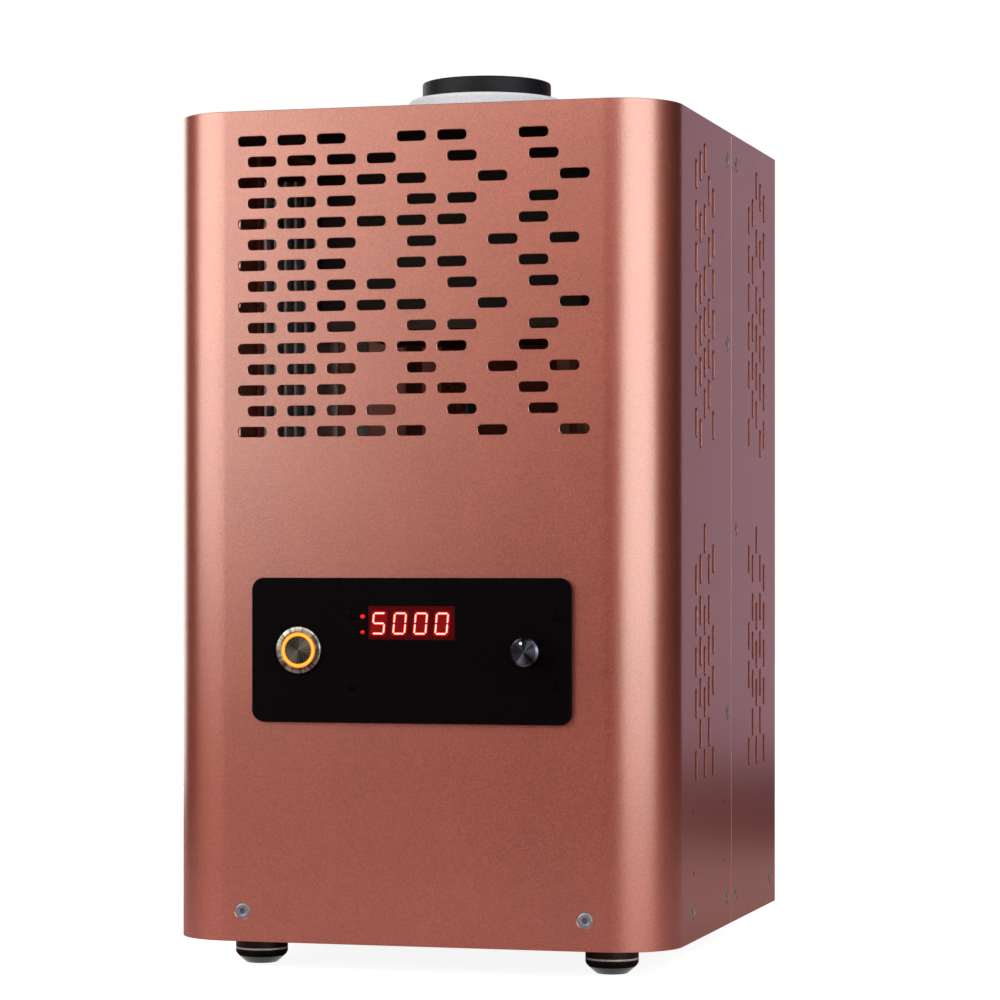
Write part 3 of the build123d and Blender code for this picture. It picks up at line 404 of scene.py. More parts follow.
# for each slot: name, light and dark colour, grain in mm, roughness and its spread, bump in mm,
# and what else the shader is told
plainFinishes = {
    # sheet aluminium, anodised with the covers but not blasted: a flat, browner rose
    "frame_steel": ("anodisedFrame", "#cf8272", "#b0685a", 3, 0.5, 0.08, 0.02, {"Metallic": 0.2}),
    # powder coated sheet: dark grey with soft orange peel
    "top_plate": ("powderCoatedPlate", "#3a3a3d", "#2e2e31", 0.8, 0.55, 0.06, 0.04),
    # stainless steel, turned: a grey glint with a blue cast
    "screw_steel": ("stainlessScrew", "#9a9ba8", "#787a86", 0.6, 0.34, 0.05, 0.01, {"Metallic": 0.6}),
    # nylon, moulded in black: satin
    "foot_plastic": ("mouldedFoot", "#131214", "#0c0b0d", 0.7, 0.38, 0.05, 0.01),
    # rubber, polished: black with a wet shine
    "foot_rubber": ("footRubber", "#121114", "#0a090b", 1.2, 0.28, 0.05, 0.01),
    # plated steel band: a thin bright line round each foot
    "footRing": ("footRingSteel", "#fff8f8", "#e6dede", 0.5, 0.35, 0.05, 0.005, {"Metallic": 0.3}),
    # aluminium plate, anodised black: nearly matt, with a faint warm cast
    "panel_black": (
        "anodisedBlackPlate", "#0a0608", "#060305", 0.5, 0.4, 0.04, 0.008, {"Specular_IOR_Level": 0.03},
    ),
    # steel, blackened in oxide: only an edge of light
    "black_screw": ("blackOxideScrew", "#16131a", "#0d0b10", 0.4, 0.4, 0.08, 0.01, {"Metallic": 1.0}),
    # acrylic, tinted: a deep even red
    "display_glass": (
        "redDisplayFilter", "#4c060a", "#3c0508", 2, 0.3, 0.02, 0.002, {"Specular_IOR_Level": 0.03},
    ),
    # moulded epoxy: dull black
    "module_black": ("mouldedModule", "#1c1b1d", "#121113", 0.8, 0.5, 0.06, 0.01),
    # glass laminate under solder mask: dark green with a soft shine
    "circuit_board": ("solderMask", "#1c5233", "#123f26", 2.5, 0.35, 0.08, 0.02),
    # phenolic rod, turned: warm brown and dull
    "spacer_nylon": ("turnedPhenolic", "#8c5040", "#74402f", 1.2, 0.5, 0.05, 0.01),
    # steel, drawn: a clean grey shine
    "shaft_steel": ("drawnSteel", "#a6a6a8", "#8a8a8d", 0.8, 0.35, 0.05, 0.01, {"Metallic": 1.0}),
    # alumina, pressed and fired: chalky off-white
    "ceramic": ("firedAlumina", "#cbc7cf", "#c0bcc6", 1.6, 0.7, 0.06, 0.05),
    # graphite, machined: soft dark grey
    "graphite": ("machinedGraphite", "#2b2a2d", "#1b1a1d", 1.2, 0.5, 0.08, 0.03),
    # graphite, ground flat: nearly black, with little shine
    "graphite_lid": (
        "groundGraphite", "#131018", "#0a080f", 0.9, 0.5, 0.08, 0.03, {"Specular_IOR_Level": 0.25},
    ),
    # insulating brick: pale sand, quite rough
    "brick": ("insulatingBrick", "#d8cbb4", "#c2b297", 2, 0.9, 0.05, 0.3),
    # pressed mineral board: dull brown
    "heat_board": ("heatBoard", "#5a4440", "#46332f", 1.5, 0.85, 0.05, 0.1),
    # copper tube and bar, drawn: warm orange shine
    "copper": ("drawnCopper", "#c8805c", "#a8633f", 2, 0.3, 0.08, 0.02, {"Metallic": 1.0}),
    # painted steel, nearly black, with a red-brown tone that is a painted reflection of the copper-coloured
    # covers round it: keeps what stands behind the slots dark
    "shield": ("shieldPaint", "#24110f", "#170a09", 1, 0.6, 0.05, 0.03),
    # brass, machined: yellow, with a crisp shine
    "brass": ("machinedBrass", "#c9a45c", "#ab873f", 1, 0.3, 0.06, 0.01, {"Metallic": 1.0}),
    # extruded aluminium: white metal with long upright draw marks
    "heat_sink": (
        "extrudedAluminium", "#ffffff", "#e4e0e6", 1, 0.55, 0.06, 0.02,
        {"stretch": (1, 1, 0.05), "Metallic": 1.0},
    ),
    # capacitor sleeve: smooth blue-black
    "capacitor": ("capacitorCase", "#20222a", "#16181e", 1.5, 0.35, 0.05, 0.01),
    # ferrite, sintered: dull charcoal with a fine pitting
    "ferrite": ("sinteredFerrite", "#2a2a2b", "#1c1c1d", 1, 0.6, 0.05, 0.05),
    # glass-filled plastic of the fan: satin black
    "fan_black": ("fanPlastic", "#17171a", "#0f0f11", 0.8, 0.42, 0.05, 0.01),
    # plastic of the finger guard: black with a fine texture
    "guard_black": ("guardPlastic", "#161618", "#0e0e10", 0.6, 0.45, 0.05, 0.02),
    # brazed aluminium: grey metal, a little uneven
    "radiator": ("brazedAluminium", "#b4b5b8", "#8f9094", 1.2, 0.4, 0.08, 0.04, {"Metallic": 1.0}),
    # blown polyethylene: milky white and waxy
    "tank": ("tankPolyethylene", "#dddcd4", "#cfcec6", 4, 0.45, 0.05, 0.02),
    # moulded cap: satin black
    "cap_black": ("capPlastic", "#151517", "#0d0d0f", 0.7, 0.4, 0.05, 0.02),
    # moulded pump housing: a lighter satin black
    "pump_black": ("pumpPlastic", "#1b1b1e", "#121214", 0.9, 0.45, 0.05, 0.02),
    # silicone hose: slate blue with a soft sheen
    "hose": ("hoseSilicone", "#2c3a48", "#22303d", 2, 0.35, 0.05, 0.01),
    # nylon gland: satin black
    "gland": ("glandNylon", "#161617", "#0e0e0f", 0.7, 0.45, 0.05, 0.02),
    # breaker housing: pale grey and smooth
    "breaker": ("breakerPolyamide", "#cfcecb", "#c1c0bc", 0.9, 0.5, 0.05, 0.01),
    # breaker lever: black with a mild shine
    "lever": ("leverPlastic", "#161617", "#0f0f10", 0.7, 0.4, 0.05, 0.01),
    # terminal block: dull dark grey
    "terminal": ("terminalPlastic", "#2b2b2d", "#1f1f21", 0.8, 0.5, 0.05, 0.01),
}
finishes = {}
for slot, (name, light, dark, grain, roughness, spread, depth, *more) in plainFinishes.items():
    finishes[slot] = workedFinish(name, light, dark, grain * mm, roughness, spread, depth * mm, **dict(*more))

# aluminium, bead-blasted and anodised rose: a fine sparkle, and soft wide highlights with a pale core.
# the grain is drawn coarser than the real 0.2 mm, so that it shows from a few steps away
coverFinish = {"light": "#d56d5a", "dark": "#b05343", "grain": 0.9 * mm, "roughness": 0.5, "depth": 0.06 * mm}
finishes["cover"] = workedFinish(
    "anodisedRoseAluminium", coverFinish["light"], coverFinish["dark"], coverFinish["grain"],
    coverFinish["roughness"], 0.05, coverFinish["depth"],
    Metallic=1.0, Coat_Weight=1.0, Coat_Roughness=0.28, Coat_IOR=2.5,  # the sealed oxide layer
)

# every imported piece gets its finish, and pieces made below replace some of them
for part in frame["record"]["subparts"]:
    finish = finishes.get(part["material_slot"])
    if finish:
        mesh = frame["nodes"][part["node"]].data
        mesh.materials.clear()
        mesh.materials.append(finish)
print("materials ready:", len(finishes))


# covers: one sheet each, bent at two edges and cut through with slots

slots = {
    "length": 17.5 * mm,
    "width": 5.8 * mm,
    "corner": 2.5 * mm,
    "cornerSteps": 5,
    "pitch": 24 * mm,
    "middleColumn": 4,  # the one on the case's middle
    "rowPitch": 12 * mm,
    "rowShift": 6 * mm,
    "rowCount": 15,
    "topDrop": 17.6 * mm,
    "rows": (  # columns with a slot, row by row, then over again
        (0, 1, 2, 4, 5, 7), (0, 1, 2, 3, 5, 7), (0, 1, 2, 3, 4, 6, 8),
        (0, 1, 2, 4, 5, 7), (0, 1, 2, 3, 4, 5, 7), (0, 1, 2, 4, 6, 7.5),
    ),
    "sideFar": 102 * mm,  # from the seam to the column farthest from it
    "sidePitch": 12 * mm,
    "sideStep": 6 * mm,
    "upperDrop": 15 * mm,
    "upper": (  # steps down with a slot, column by column towards the seam
        (2, 6, 10, 14, 18, 22, 26), (1, 7, 13, 17, 21, 27), (0, 6, 12, 16, 20, 24),
        (3, 9, 15, 19, 23), (4, 8, 12, 16, 20, 26),
    ),
    "lowerHeight": 242 * mm,
    "lower": (
        (4, 8, 12, 16, 22), (3, 7, 11, 15, 19), (0, 8, 12, 16, 22), (3, 7, 11, 15, 19), (2, 10, 14, 22),
    ),
}
screws = {
    "headRadius": 4.8 * mm,
    "shankRadius": 2.5 * mm,
    "length": 8 * mm,
    "gap": 0.12 * mm,
    "socket": 1.9 * mm,
    "socketDepth": 2.4 * mm,
    "edge": 17.5 * mm,  # from the case's lower and upper edge
    "fromSeam": 13.5 * mm,
    "frontX": 102 * mm,
    "traySetback": 66.5 * mm,
    "rearSetback": 24 * mm,
}
pilots = {
    "radius": 1.25 * mm,
    "spacingY": 88 * mm,
    "spacingZ": 36 * mm,
    "setback": 111.5 * mm,
    "height": 57.5 * mm,
}
covers = {
    "frontBend": (38 * mm, 28),  # radius and steps
    "rearBend": (4 * mm, 8),
    "past": 1 * mm,  # how far slots and bores are cut past the sheet
    "openingReach": 4 * mm,  # and the larger openings
    "boardGap": 2 * mm,
    "buttonOpening": 12.5 * mm,
    "fanOpening": 57 * mm,
    "glandOpening": 10.2 * mm,
    "breakerOpening": (36.6 * mm, 46.6 * mm),
}

leftTurn = wallTurn((-1, 0, 0), (0, 0, 1))
rightTurn = wallTurn((1, 0, 0), (0, 0, 1))
faceTurn = wallTurn((0, -1, 0), (1, 0, 0))
backTurn = wallTurn((0, 1, 0), (1, 0, 0))
seamMiddle = (case["seamFront"] + case["seamRear"]) / 2


def bothSides(y, z):
    return [((case["right"], y, z), rightTurn), ((case["left"], y, z), leftTurn)]


def sideSlots(direction):
    found = []
    groups = (
        (case["top"] - slots["upperDrop"], slots["upper"]),
        (case["bottom"] + slots["lowerHeight"], slots["lower"]),
    )
    for top, columns in groups:
        for number, steps in enumerate(columns):
            y = seamMiddle + direction * (slots["sideFar"] - number * slots["sidePitch"])
            for step in steps:
                found += bothSides(y, top - step * slots["sideStep"] - slots["length"] / 2)
    return found


faceSlots = []
for row in range(slots["rowCount"]):
    z = case["top"] - slots["topDrop"] - row * slots["rowPitch"]
    for column in slots["rows"][row % len(slots["rows"])]:
        x = (column - slots["middleColumn"]) * slots["pitch"] + slots["rowShift"] * (row % 2)
        faceSlots.append(((x, case["front"], z), faceTurn))

screwSpan = case["top"] - case["bottom"] - 2 * screws["edge"]
screwRows = [case["bottom"] + screws["edge"] + row * screwSpan / 4 for row in range(5)]


def screwPlaces(wall, turn, direction, setback, rows):  # in the wall, to the tray and by the seam
    found = [((x, wall, screwRows[0]), turn) for x in (-screws["frontX"], screws["frontX"])]
    found += bothSides(wall - direction * setback, screwRows[0])
    for row in rows:
        found += bothSides(seamMiddle + direction * screws["fromSeam"], screwRows[row])
    return found


frontScrews = screwPlaces(case["front"], faceTurn, -1, screws["traySetback"], (0, 1, 3, 4))
rearScrews = screwPlaces(case["rear"], backTurn, 1, screws["rearSetback"], (0, 2, 4))
pilotPlaces = []
for sy in (-1, 1):
    for sz in (-1, 1):
        y = case["front"] + pilots["setback"] + sy * pilots["spacingY"] / 2
        z = case["bottom"] + pilots["height"] + sz * pilots["spacingZ"] / 2
        pilotPlaces.append(((case["right"], y, z), rightTurn))


def bentSheet(name, corners, radius, steps):  # swept along the outline, with every edge broken
    path = []
    for before, corner, after in zip(corners, corners[1:], corners[2:]):
        comes = (Vector(corner) - Vector(before)).normalized()
        leaves = (Vector(after) - Vector(corner)).normalized()
        centre = Vector(corner) + radius * (leaves - comes)
        for step in range(steps + 1):
            angle = math.radians(90 * step / steps)
            out = Vector((comes.y, -comes.x)) * math.cos(angle)
            out += Vector((leaves.y, -leaves.x)) * math.sin(angle)
            path.append((centre + radius * out, out))
    edge, seam = case["edge"], case["seamEdge"]
    first, last = Vector(corners[0]), Vector(corners[-1])
    inward, outward = (path[0][0] - first).normalized(), (path[-1][0] - last).normalized()
    drops = [(0.0, seam), (0.3 * seam, 0.3 * seam), (seam, 0.0)]  # from the seam, and into the sheet
    starts = [(first + far * inward, path[0][1], drop) for far, drop in drops]
    ends = [(last + far * outward, path[-1][1], drop) for far, drop in reversed(drops)]
    path = starts + [(spot, out, 0.0) for spot, out in path] + ends
    rings = []
    for spot, out, drop in path:
        low, high, deep = case["bottom"] + drop, case["top"] - drop, case["sheet"] - drop
        section = [
            (-drop - edge, low), (-drop, low + edge), (-drop, high - edge), (-drop - edge, high),
            (edge - deep, high), (-deep, high - edge), (-deep, low + edge), (edge - deep, low),
        ]
        rings.append([Vector((spot.x + offset * out.x, spot.y + offset * out.y, z)) for offset, z in section])
    return loftRings(name, rings)


def slotCutter():  # wider at both faces, which breaks the slot's edges
    rings = []
    past, edge, sheet = covers["past"], case["edge"], case["sheet"]
    levels = ((past, past + edge), (-edge, 0), (edge - sheet, 0), (-sheet - past, past + edge))
    for height, grow in levels:
        outline = roundedOutline(slots["length"], slots["width"], slots["corner"], slots["cornerSteps"], grow)
        rings.append([Vector((x, y, height)) for x, y in outline])
    return newPiece("slotCutter", loftRings("slotCutter", rings))


def openingAt(node, wall, outline):  # through the wall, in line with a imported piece
    low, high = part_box(node)
    matrix = frontAt((low.x + high.x) / 2, wall, (low.z + high.z) / 2)
    reach = covers["openingReach"]
    rings = [[matrix @ Vector((x, y, height)) for x, y in outline] for height in (reach, -reach)]
    return loftRings("opening", rings)


boardLow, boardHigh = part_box("control_board")
boardOutline = rectangleOutline(
    boardHigh.x - boardLow.x + 2 * covers["boardGap"], boardHigh.z - boardLow.z + 2 * covers["boardGap"],
)
frontOpenings = joinMeshes("frontOpenings", [
    openingAt("control_board", case["front"], boardOutline),
    openingAt("button_body", case["front"], circleOutline(covers["buttonOpening"])),
])
rearOpenings = joinMeshes("rearOpenings", [
    openingAt("fan_frame", case["rear"], circleOutline(covers["fanOpening"])),
    openingAt("cable_gland", case["rear"], circleOutline(covers["glandOpening"], 32)),
    openingAt("circuit_breaker", case["rear"], rectangleOutline(*covers["breakerOpening"])),
])


def makeCover(name, node, corners, bend, slotPlaces, screwPlaces, pilotSpots, openings):
    sheet = newPiece(name + "Sheet", bentSheet(name, corners, *bend))
    head = screws["headRadius"] + screws["gap"]
    shank = screws["shankRadius"] + screws["gap"]
    past, below = covers["past"], -case["sheet"] - covers["past"]
    helpers = {
        "Slot Places": placesPiece(name + "Slots", slotPlaces),
        "Slot Cutter": slotCutter(),
        "Screw Places": placesPiece(name + "Screws", screwPlaces),
        "Screw Cutter": turnedShape("screwCutter", [
            (0, past), (head + past, past), (shank, shank - head), (shank, below), (0, below),
        ], 32),
        "Pilot Places": placesPiece(name + "Pilots", pilotSpots),
        "Pilot Cutter": turnedShape("pilotCutter", [
            (0, past), (pilots["radius"], past), (pilots["radius"], below), (0, below),
        ], 20),
        "Openings": newPiece(name + "Openings", openings),
    }
    addTree(sheet, perforateTree, {**helpers, "Material": finishes["cover"]})
    piece = newPiece(name, bakeMesh(sheet, name))
    discard(sheet, *helpers.values())
    finishPiece(piece, "housing", "cover", (node,), angle=25)
    print(name, "made:", len(piece.data.polygons), "faces")


makeCover("frontCover", "front_cover", [
    (case["left"], case["seamFront"]), (case["left"], case["front"]),
    (case["right"], case["front"]), (case["right"], case["seamFront"]),
], covers["frontBend"], faceSlots + sideSlots(-1), frontScrews, pilotPlaces, frontOpenings)
makeCover("rearCover", "rear_cover", [
    (case["right"], case["seamRear"]), (case["right"], case["rear"]),
    (case["left"], case["rear"]), (case["left"], case["seamRear"]),
], covers["rearBend"], sideSlots(1), rearScrews, [], rearOpenings)


# cover screws: countersunk heads with a hex socket, flush with the sheet

def screwShape():
    head, shank, length = screws["headRadius"], screws["shankRadius"], screws["length"]
    body = turnedShape("screwBody", inMillimetres((0, -0.3), (2.3, -0.3), (2.8, -0.05), (3.4, 0)) + [
        (head - 0.3 * mm, -0.35 * mm), (head, -0.7 * mm),
        (shank, shank - head - 0.4 * mm), (shank, -length), (0, -length),
    ], 32)
    socket = turnedShape("screwSocket", [
        (0, covers["past"]), (screws["socket"], covers["past"]),
        (screws["socket"], -screws["socketDepth"]), (0, -screws["socketDepth"]),
    ], 6)
    cut = body.modifiers.new("socket", "BOOLEAN")
    cut.object = socket
    cut.solver = "EXACT"
    shape = newPiece("screwShape", bakeMesh(body, "screwShape"))
    discard(body, socket)
    return shape


screwNodes = ("front_cover_screws", "rear_cover_screws")
repeated("coverScrews", screwShape(), frontScrews + rearScrews, "screw_steel", screwNodes)
print("screws made:", len(frontScrews + rearScrews))


# feet: a body under the tray, a thin bright ring and a pad that curves in to the floor

footLow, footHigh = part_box("foot_bodies")
feet = {
    "radius": 15.4 * mm,
    "flat": 8.6 * mm,
    "ringLow": 8.2 * mm,
    "ringHigh": 9.3 * mm,
    "ringProud": 0.05 * mm,
    "top": footHigh.z,
    "reach": 15.5 * mm,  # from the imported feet's box to their middles
}
footX = (footHigh.x - footLow.x) / 2 - feet["reach"]
footRows = (footLow.y + feet["reach"], footHigh.y - feet["reach"])
footPlaces = [((x, y, 0), (0, 0, 0)) for x in (-footX, footX) for y in footRows]
radius, ringLow, ringHigh = feet["radius"], feet["ringLow"], feet["ringHigh"]
rim = radius + feet["ringProud"]
padProfile = [(0, 0), (feet["flat"], 0), (feet["flat"] + 0.7 * mm, 0.3 * mm)]
padProfile += inMillimetres((12.0, 2.6), (14.3, 4.8), (15.1, 5.9))
padProfile += [(radius, 7.2 * mm), (radius, ringLow), (0, ringLow)]
ringProfile = [
    (0, ringLow), (radius - 0.1 * mm, ringLow), (rim, ringLow + 0.2 * mm),
    (rim, ringHigh - 0.2 * mm), (radius - 0.1 * mm, ringHigh), (0, ringHigh),
]
bodyProfile = [
    (0, ringHigh), (radius - 0.4 * mm, ringHigh), (radius, ringHigh + 0.4 * mm),
    (radius, feet["top"]), (0, feet["top"]),
]
for name, profile, slot, finish, nodes in (
    ("footPads", padProfile, "foot_rubber", "foot_rubber", ("foot_pads",)),
    ("footRings", ringProfile, "screw_steel", "footRing", ()),
    ("footBodies", bodyProfile, "foot_plastic", "foot_plastic", ("foot_bodies",)),
):
    repeated(name, turnedShape(name + "Shape", profile, 48), footPlaces, slot, nodes, finishes[finish])
print("feet made")


# control panel: a black plate with its edges broken, and what sits in it

panelLow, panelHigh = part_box("control_panel")
windowLow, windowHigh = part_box("display_window")
knobLow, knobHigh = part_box("knob")
capLow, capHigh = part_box("button_cap")
ledLow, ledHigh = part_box("status_leds")
panelScrewLow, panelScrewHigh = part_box("panel_screws")
panel = {
    "corner": 7 * mm,
    "edge": 0.4 * mm,
    "buttonHole": 12.5 * mm,
    "shaftHole": 3.1 * mm,
    "ledHole": 1.55 * mm,
    "ledReach": 1.3 * mm,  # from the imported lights' box to their middles
    "windowGap": 0.1 * mm,
    "windowEdge": 0.3 * mm,
    "screwHole": 1.5 * mm,
    "screwReachX": 2.75 * mm,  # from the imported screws' box to their middles
    "screwReachZ": 2.38 * mm,
}


def plateMesh(name, splines, thickness, edge, place):  # outline and holes as flat curves, thickened
    curve = bpy.data.curves.new(name, "CURVE")
    curve.dimensions = "2D"
    curve.fill_mode = "BOTH"
    curve.extrude = thickness / 2 - edge
    curve.bevel_depth = edge
    curve.bevel_resolution = 2
    curve.offset = -edge
    for points in splines:
        spline = curve.splines.new("POLY")
        spline.points.add(len(points) - 1)
        for point, (x, y) in zip(spline.points, points):
            point.co = (x, y, 0, 1)
        spline.use_cyclic_u = True
    holder = newPiece(name + "Curve", curve)
    mesh = bakeMesh(holder, name)
    discard(holder)
    build = bmesh.new()
    build.from_mesh(mesh)
    bmesh.ops.remove_doubles(build, verts=build.verts, dist=1e-6)
    bmesh.ops.recalc_face_normals(build, faces=build.faces)
    build.transform(place)
    build.to_mesh(mesh)
    build.free()
    return mesh


panelMiddle = middle(panelLow, panelHigh)
windowMiddle = middle(windowLow, windowHigh)
buttonMiddle = middle(capLow, capHigh)
knobMiddle = middle(knobLow, knobHigh)
ledMiddle = middle(ledLow, ledHigh)
windowWidth, windowHeight = windowHigh.x - windowLow.x, windowHigh.z - windowLow.z
screwSpots = [
    (x, z)
    for x in (panelScrewLow.x + panel["screwReachX"], panelScrewHigh.x - panel["screwReachX"])
    for z in (panelScrewLow.z + panel["screwReachZ"], panelScrewHigh.z - panel["screwReachZ"])
]
ledSpots = [(ledMiddle.x, ledLow.z + panel["ledReach"]), (ledMiddle.x, ledHigh.z - panel["ledReach"])]


def panelHole(x, z, radius, sides):  # a round hole, from the panel's middle
    return circleOutline(radius, sides, x - panelMiddle.x, z - panelMiddle.z, way=-1)


windowHole = [
    (windowMiddle.x - panelMiddle.x + x, windowMiddle.z - panelMiddle.z + z)
    for x, z in rectangleOutline(windowWidth + panel["windowGap"], windowHeight + panel["windowGap"])
]
outlines = [
    roundedOutline(panelHigh.x - panelLow.x, panelHigh.z - panelLow.z, panel["corner"], 12),
    windowHole[::-1],
    panelHole(buttonMiddle.x, buttonMiddle.z, panel["buttonHole"], 64),
    panelHole(knobMiddle.x, knobMiddle.z, panel["shaftHole"], 24),
]
outlines += [panelHole(x, z, panel["ledHole"], 20) for x, z in ledSpots]
outlines += [panelHole(x, z, panel["screwHole"], 20) for x, z in screwSpots]
controlPanel = newPiece("controlPanel", plateMesh(
    "controlPanel", outlines, panelHigh.y - panelLow.y, panel["edge"], frontAt(*panelMiddle),
))
finishPiece(controlPanel, "housing", "panel_black", ("control_panel",), angle=50)

screwHead = turnedShape("panelScrewShape", inMillimetres(
    (0, -2), (1.4, -2), (1.4, 0), (2.75, 0), (2.7, 0.35),
    (2.3, 0.7), (1.5, 0.8), (1.2, 0.8), (1.1, 0.3), (0, 0.2),
), 32)
headPlaces = [((x, panelLow.y, z), faceTurn) for x, z in screwSpots]
repeated("panelScrews", screwHead, headPlaces, "black_screw", ("panel_screws",))

# epoxy domes, tinted red: the upper one is lit, and the lower one glows a little less
finishes["led"] = litFinish(
    "litRedLamp", "#f02a22", "#5c070a", 0.8, (ledSpots[1][0], 0, ledSpots[1][1]), -2 * mm, 11 * mm,
)
lamp = turnedShape("lampShape", inMillimetres(
    (0, -12), (1.15, -12), (1.15, 0.1), (1.0, 0.4), (0.6, 0.6), (0, 0.7),
), 24)
lampPlaces = [((x, panelLow.y, z), faceTurn) for x, z in ledSpots]
repeated("statusLights", lamp, lampPlaces, "led", ("status_leds",))


# display: a red filter with four slanted seven-segment digits that shine through it

display = {
    "text": "5000",
    "first": -22.1 * mm,  # left edge of the first digit
    "pitch": 12.5 * mm,
    "width": 7.4 * mm,
    "height": 12.3 * mm,
    "drop": 0.3 * mm,
    "slant": 0.09,
    "core": 0.36 * mm,  # half the width of a lit bar
    "coreGap": 0.35 * mm,
    "coreHeight": 0.08 * mm,
    "glow": 0.8 * mm,  # half the width of the red light round it
    "glowGap": 0.1 * mm,
    "glowHeight": 0.03 * mm,
    "barThickness": 0.05 * mm,
    "halo": 1.0 * mm,
    "haloCorner": 1 * mm,
    "fade": 0.08,  # far past the digits, so that each stays one colour
}
segmentsOf = {"5": "afgcd", "0": "abcdef"}


def segmentLines(width, height):
    w, h = width / 2, height / 2
    return {
        "a": ((-w, h), (w, h)), "g": ((-w, 0), (w, 0)), "d": ((-w, -h), (w, -h)),
        "f": ((-w, h), (-w, 0)), "e": ((-w, 0), (-w, -h)), "b": ((w, h), (w, 0)), "c": ((w, 0), (w, -h)),
    }


def slantedPlate(name, outline, centre, height, thickness):  # round a digit's middle
    rings = []
    for level in (height, height + thickness):
        y = windowLow.y - level
        rings.append([Vector((centre[0] + x + display["slant"] * z, y, centre[1] + z)) for x, z in outline])
    return loftRings(name, rings)


def barMesh(start, end, half, gap, centre, height):  # a bar with pointed ends
    run = (Vector(end) - Vector(start)).normalized()
    side = Vector((-run.y, run.x)) * half
    a, b = Vector(start) + run * gap, Vector(end) - run * gap
    inner, outer = a + run * half, b - run * half
    outline = [a, inner - side, outer - side, b, outer + side, inner + side]
    return slantedPlate("bar", outline, centre, height, display["barThickness"])


digitZ = windowMiddle.z - display["drop"]
litHalos, litBars, litCores = [], [], []
across, up = display["width"] / 2 + display["halo"], display["height"] / 2 + display["halo"]
flat, rise = across - display["haloCorner"], up - display["haloCorner"]
haloOutline = [
    (-across, -rise), (-flat, -up), (flat, -up), (across, -rise),
    (across, rise), (flat, up), (-flat, up), (-across, rise),
]
glow, glowGap, glowHeight = display["glow"], display["glowGap"], display["glowHeight"]
core, coreGap, coreHeight = display["core"], display["coreGap"], display["coreHeight"]
segments = segmentLines(display["width"] - 2 * core, display["height"] - 2 * core)
for number, digit in enumerate(display["text"]):
    centre = (display["first"] + display["width"] / 2 + number * display["pitch"], digitZ)
    litHalos.append(slantedPlate("halo", haloOutline, centre, 0.0, glowHeight))
    for key, (start, end) in segments.items():
        if key in segmentsOf[digit]:
            litBars.append(barMesh(start, end, glow, glowGap, centre, glowHeight))
            litCores.append(barMesh(start, end, core, coreGap, centre, coreHeight))
for name, bars, finish, light, dark, strength in (
    # light spread inside the filter: a dim red behind each digit
    ("digitHalos", litHalos, "litBarHalo", "#66060a", "#5a0509", 0.7),
    # light just outside a bar: a strong red
    ("digitGlow", litBars, "litBarEdge", "#f0201a", "#dc1614", 1.0),
    # the bars themselves: nearly white with a pink cast
    ("digitCores", litCores, "litBar", "#ffc4b0", "#ffb49e", 1.0),
):
    material = litFinish(finish, light, dark, strength, (0, 0, digitZ), 0.0, display["fade"])
    finishPiece(newPiece(name, joinMeshes(name, bars)), "housing", "display_glass", material=material)
window = newPiece("displayWindow", plateMesh(
    "displayWindow", [rectangleOutline(windowWidth, windowHeight)],
    windowHigh.y - windowLow.y, panel["windowEdge"], frontAt(*windowMiddle),
))
finishPiece(window, "housing", "display_glass", ("display_window",), angle=50)
print("panel and display made")


# power button: a turned bezel, a lit ring and a cap faced on the lathe

button = {
    "bezel": 14 * mm,
    "bevel": 1.9 * mm,
    "proud": 3 * mm,
    "barrel": 12.4 * mm,
    "barrelEnd": 29 * mm,
    "ring": 10.2 * mm,
    "cap": 7.9 * mm,
    "gap": 0.05 * mm,
    "ringDepth": 4 * mm,
    "capDepth": 8 * mm,
    "well": 12 * mm,
}
buttonCentre = (buttonMiddle.x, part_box("button_body")[0].y, buttonMiddle.z)
buttonFront = frontAt(*buttonCentre)
# stainless steel, turned, with broad painted highlights and painted shade in streaks round the bezel
finishes["button_metal"] = spunFinishPaintedHighlights("turnedSteelBezel", "#c4c0b8", "#57534e", buttonCentre, 0.28, 3.2)
# stainless steel, faced, with a fine fan of painted shade in darker streaks between painted highlights
finishes["button_cap"] = spunFinishPaintedHighlights("facedSteelCap", "#7d7670", "#4c4844", buttonCentre, 0.32, 7.0)
# acrylic light guide: warm amber with orange edges
finishes["button_light"] = litFinish(
    "litAmberGuide", "#ff9c34", "#cc5216", 0.8, buttonCentre, button["cap"], button["ring"],
)
bezel, bevel, proud, barrel = button["bezel"], button["bevel"], button["proud"], button["barrel"]
wellRadius, ringRadius, capRadius = button["ring"] + button["gap"], button["ring"], button["cap"]
turnedPiece("buttonBody", [
    (0, -button["well"]), (wellRadius, -button["well"]), (wellRadius, -0.3 * mm), (ringRadius + 0.35 * mm, 0),
    (bezel - bevel, 0), (bezel - 0.35 * bevel, -0.35 * bevel), (bezel, -bevel), (bezel, -proud),
    (barrel, -proud), (barrel, -button["barrelEnd"]), (0, -button["barrelEnd"]),
], buttonFront, 96, "housing", "button_metal", ("button_body",))
inside, ringDepth, capDepth = capRadius + button["gap"], button["ringDepth"], button["capDepth"]
turnedPiece("buttonRing", [
    (inside, -ringDepth), (inside, -0.2 * mm), (capRadius + 0.4 * mm, 0),
    (ringRadius - 0.4 * mm, 0), (ringRadius, -0.2 * mm), (ringRadius, -ringDepth), (inside, -ringDepth),
], buttonFront, 96, "housing", "button_light", ("button_ring",))
turnedPiece("buttonCap", [
    (0, 0), (capRadius - 0.35 * mm, 0), (capRadius, -0.3 * mm), (capRadius, -capDepth), (0, -capDepth),
], buttonFront, 96, "button", "button_cap", ("button_cap",))


# control knob: black aluminium with a knurled side, a faced front and a white dot

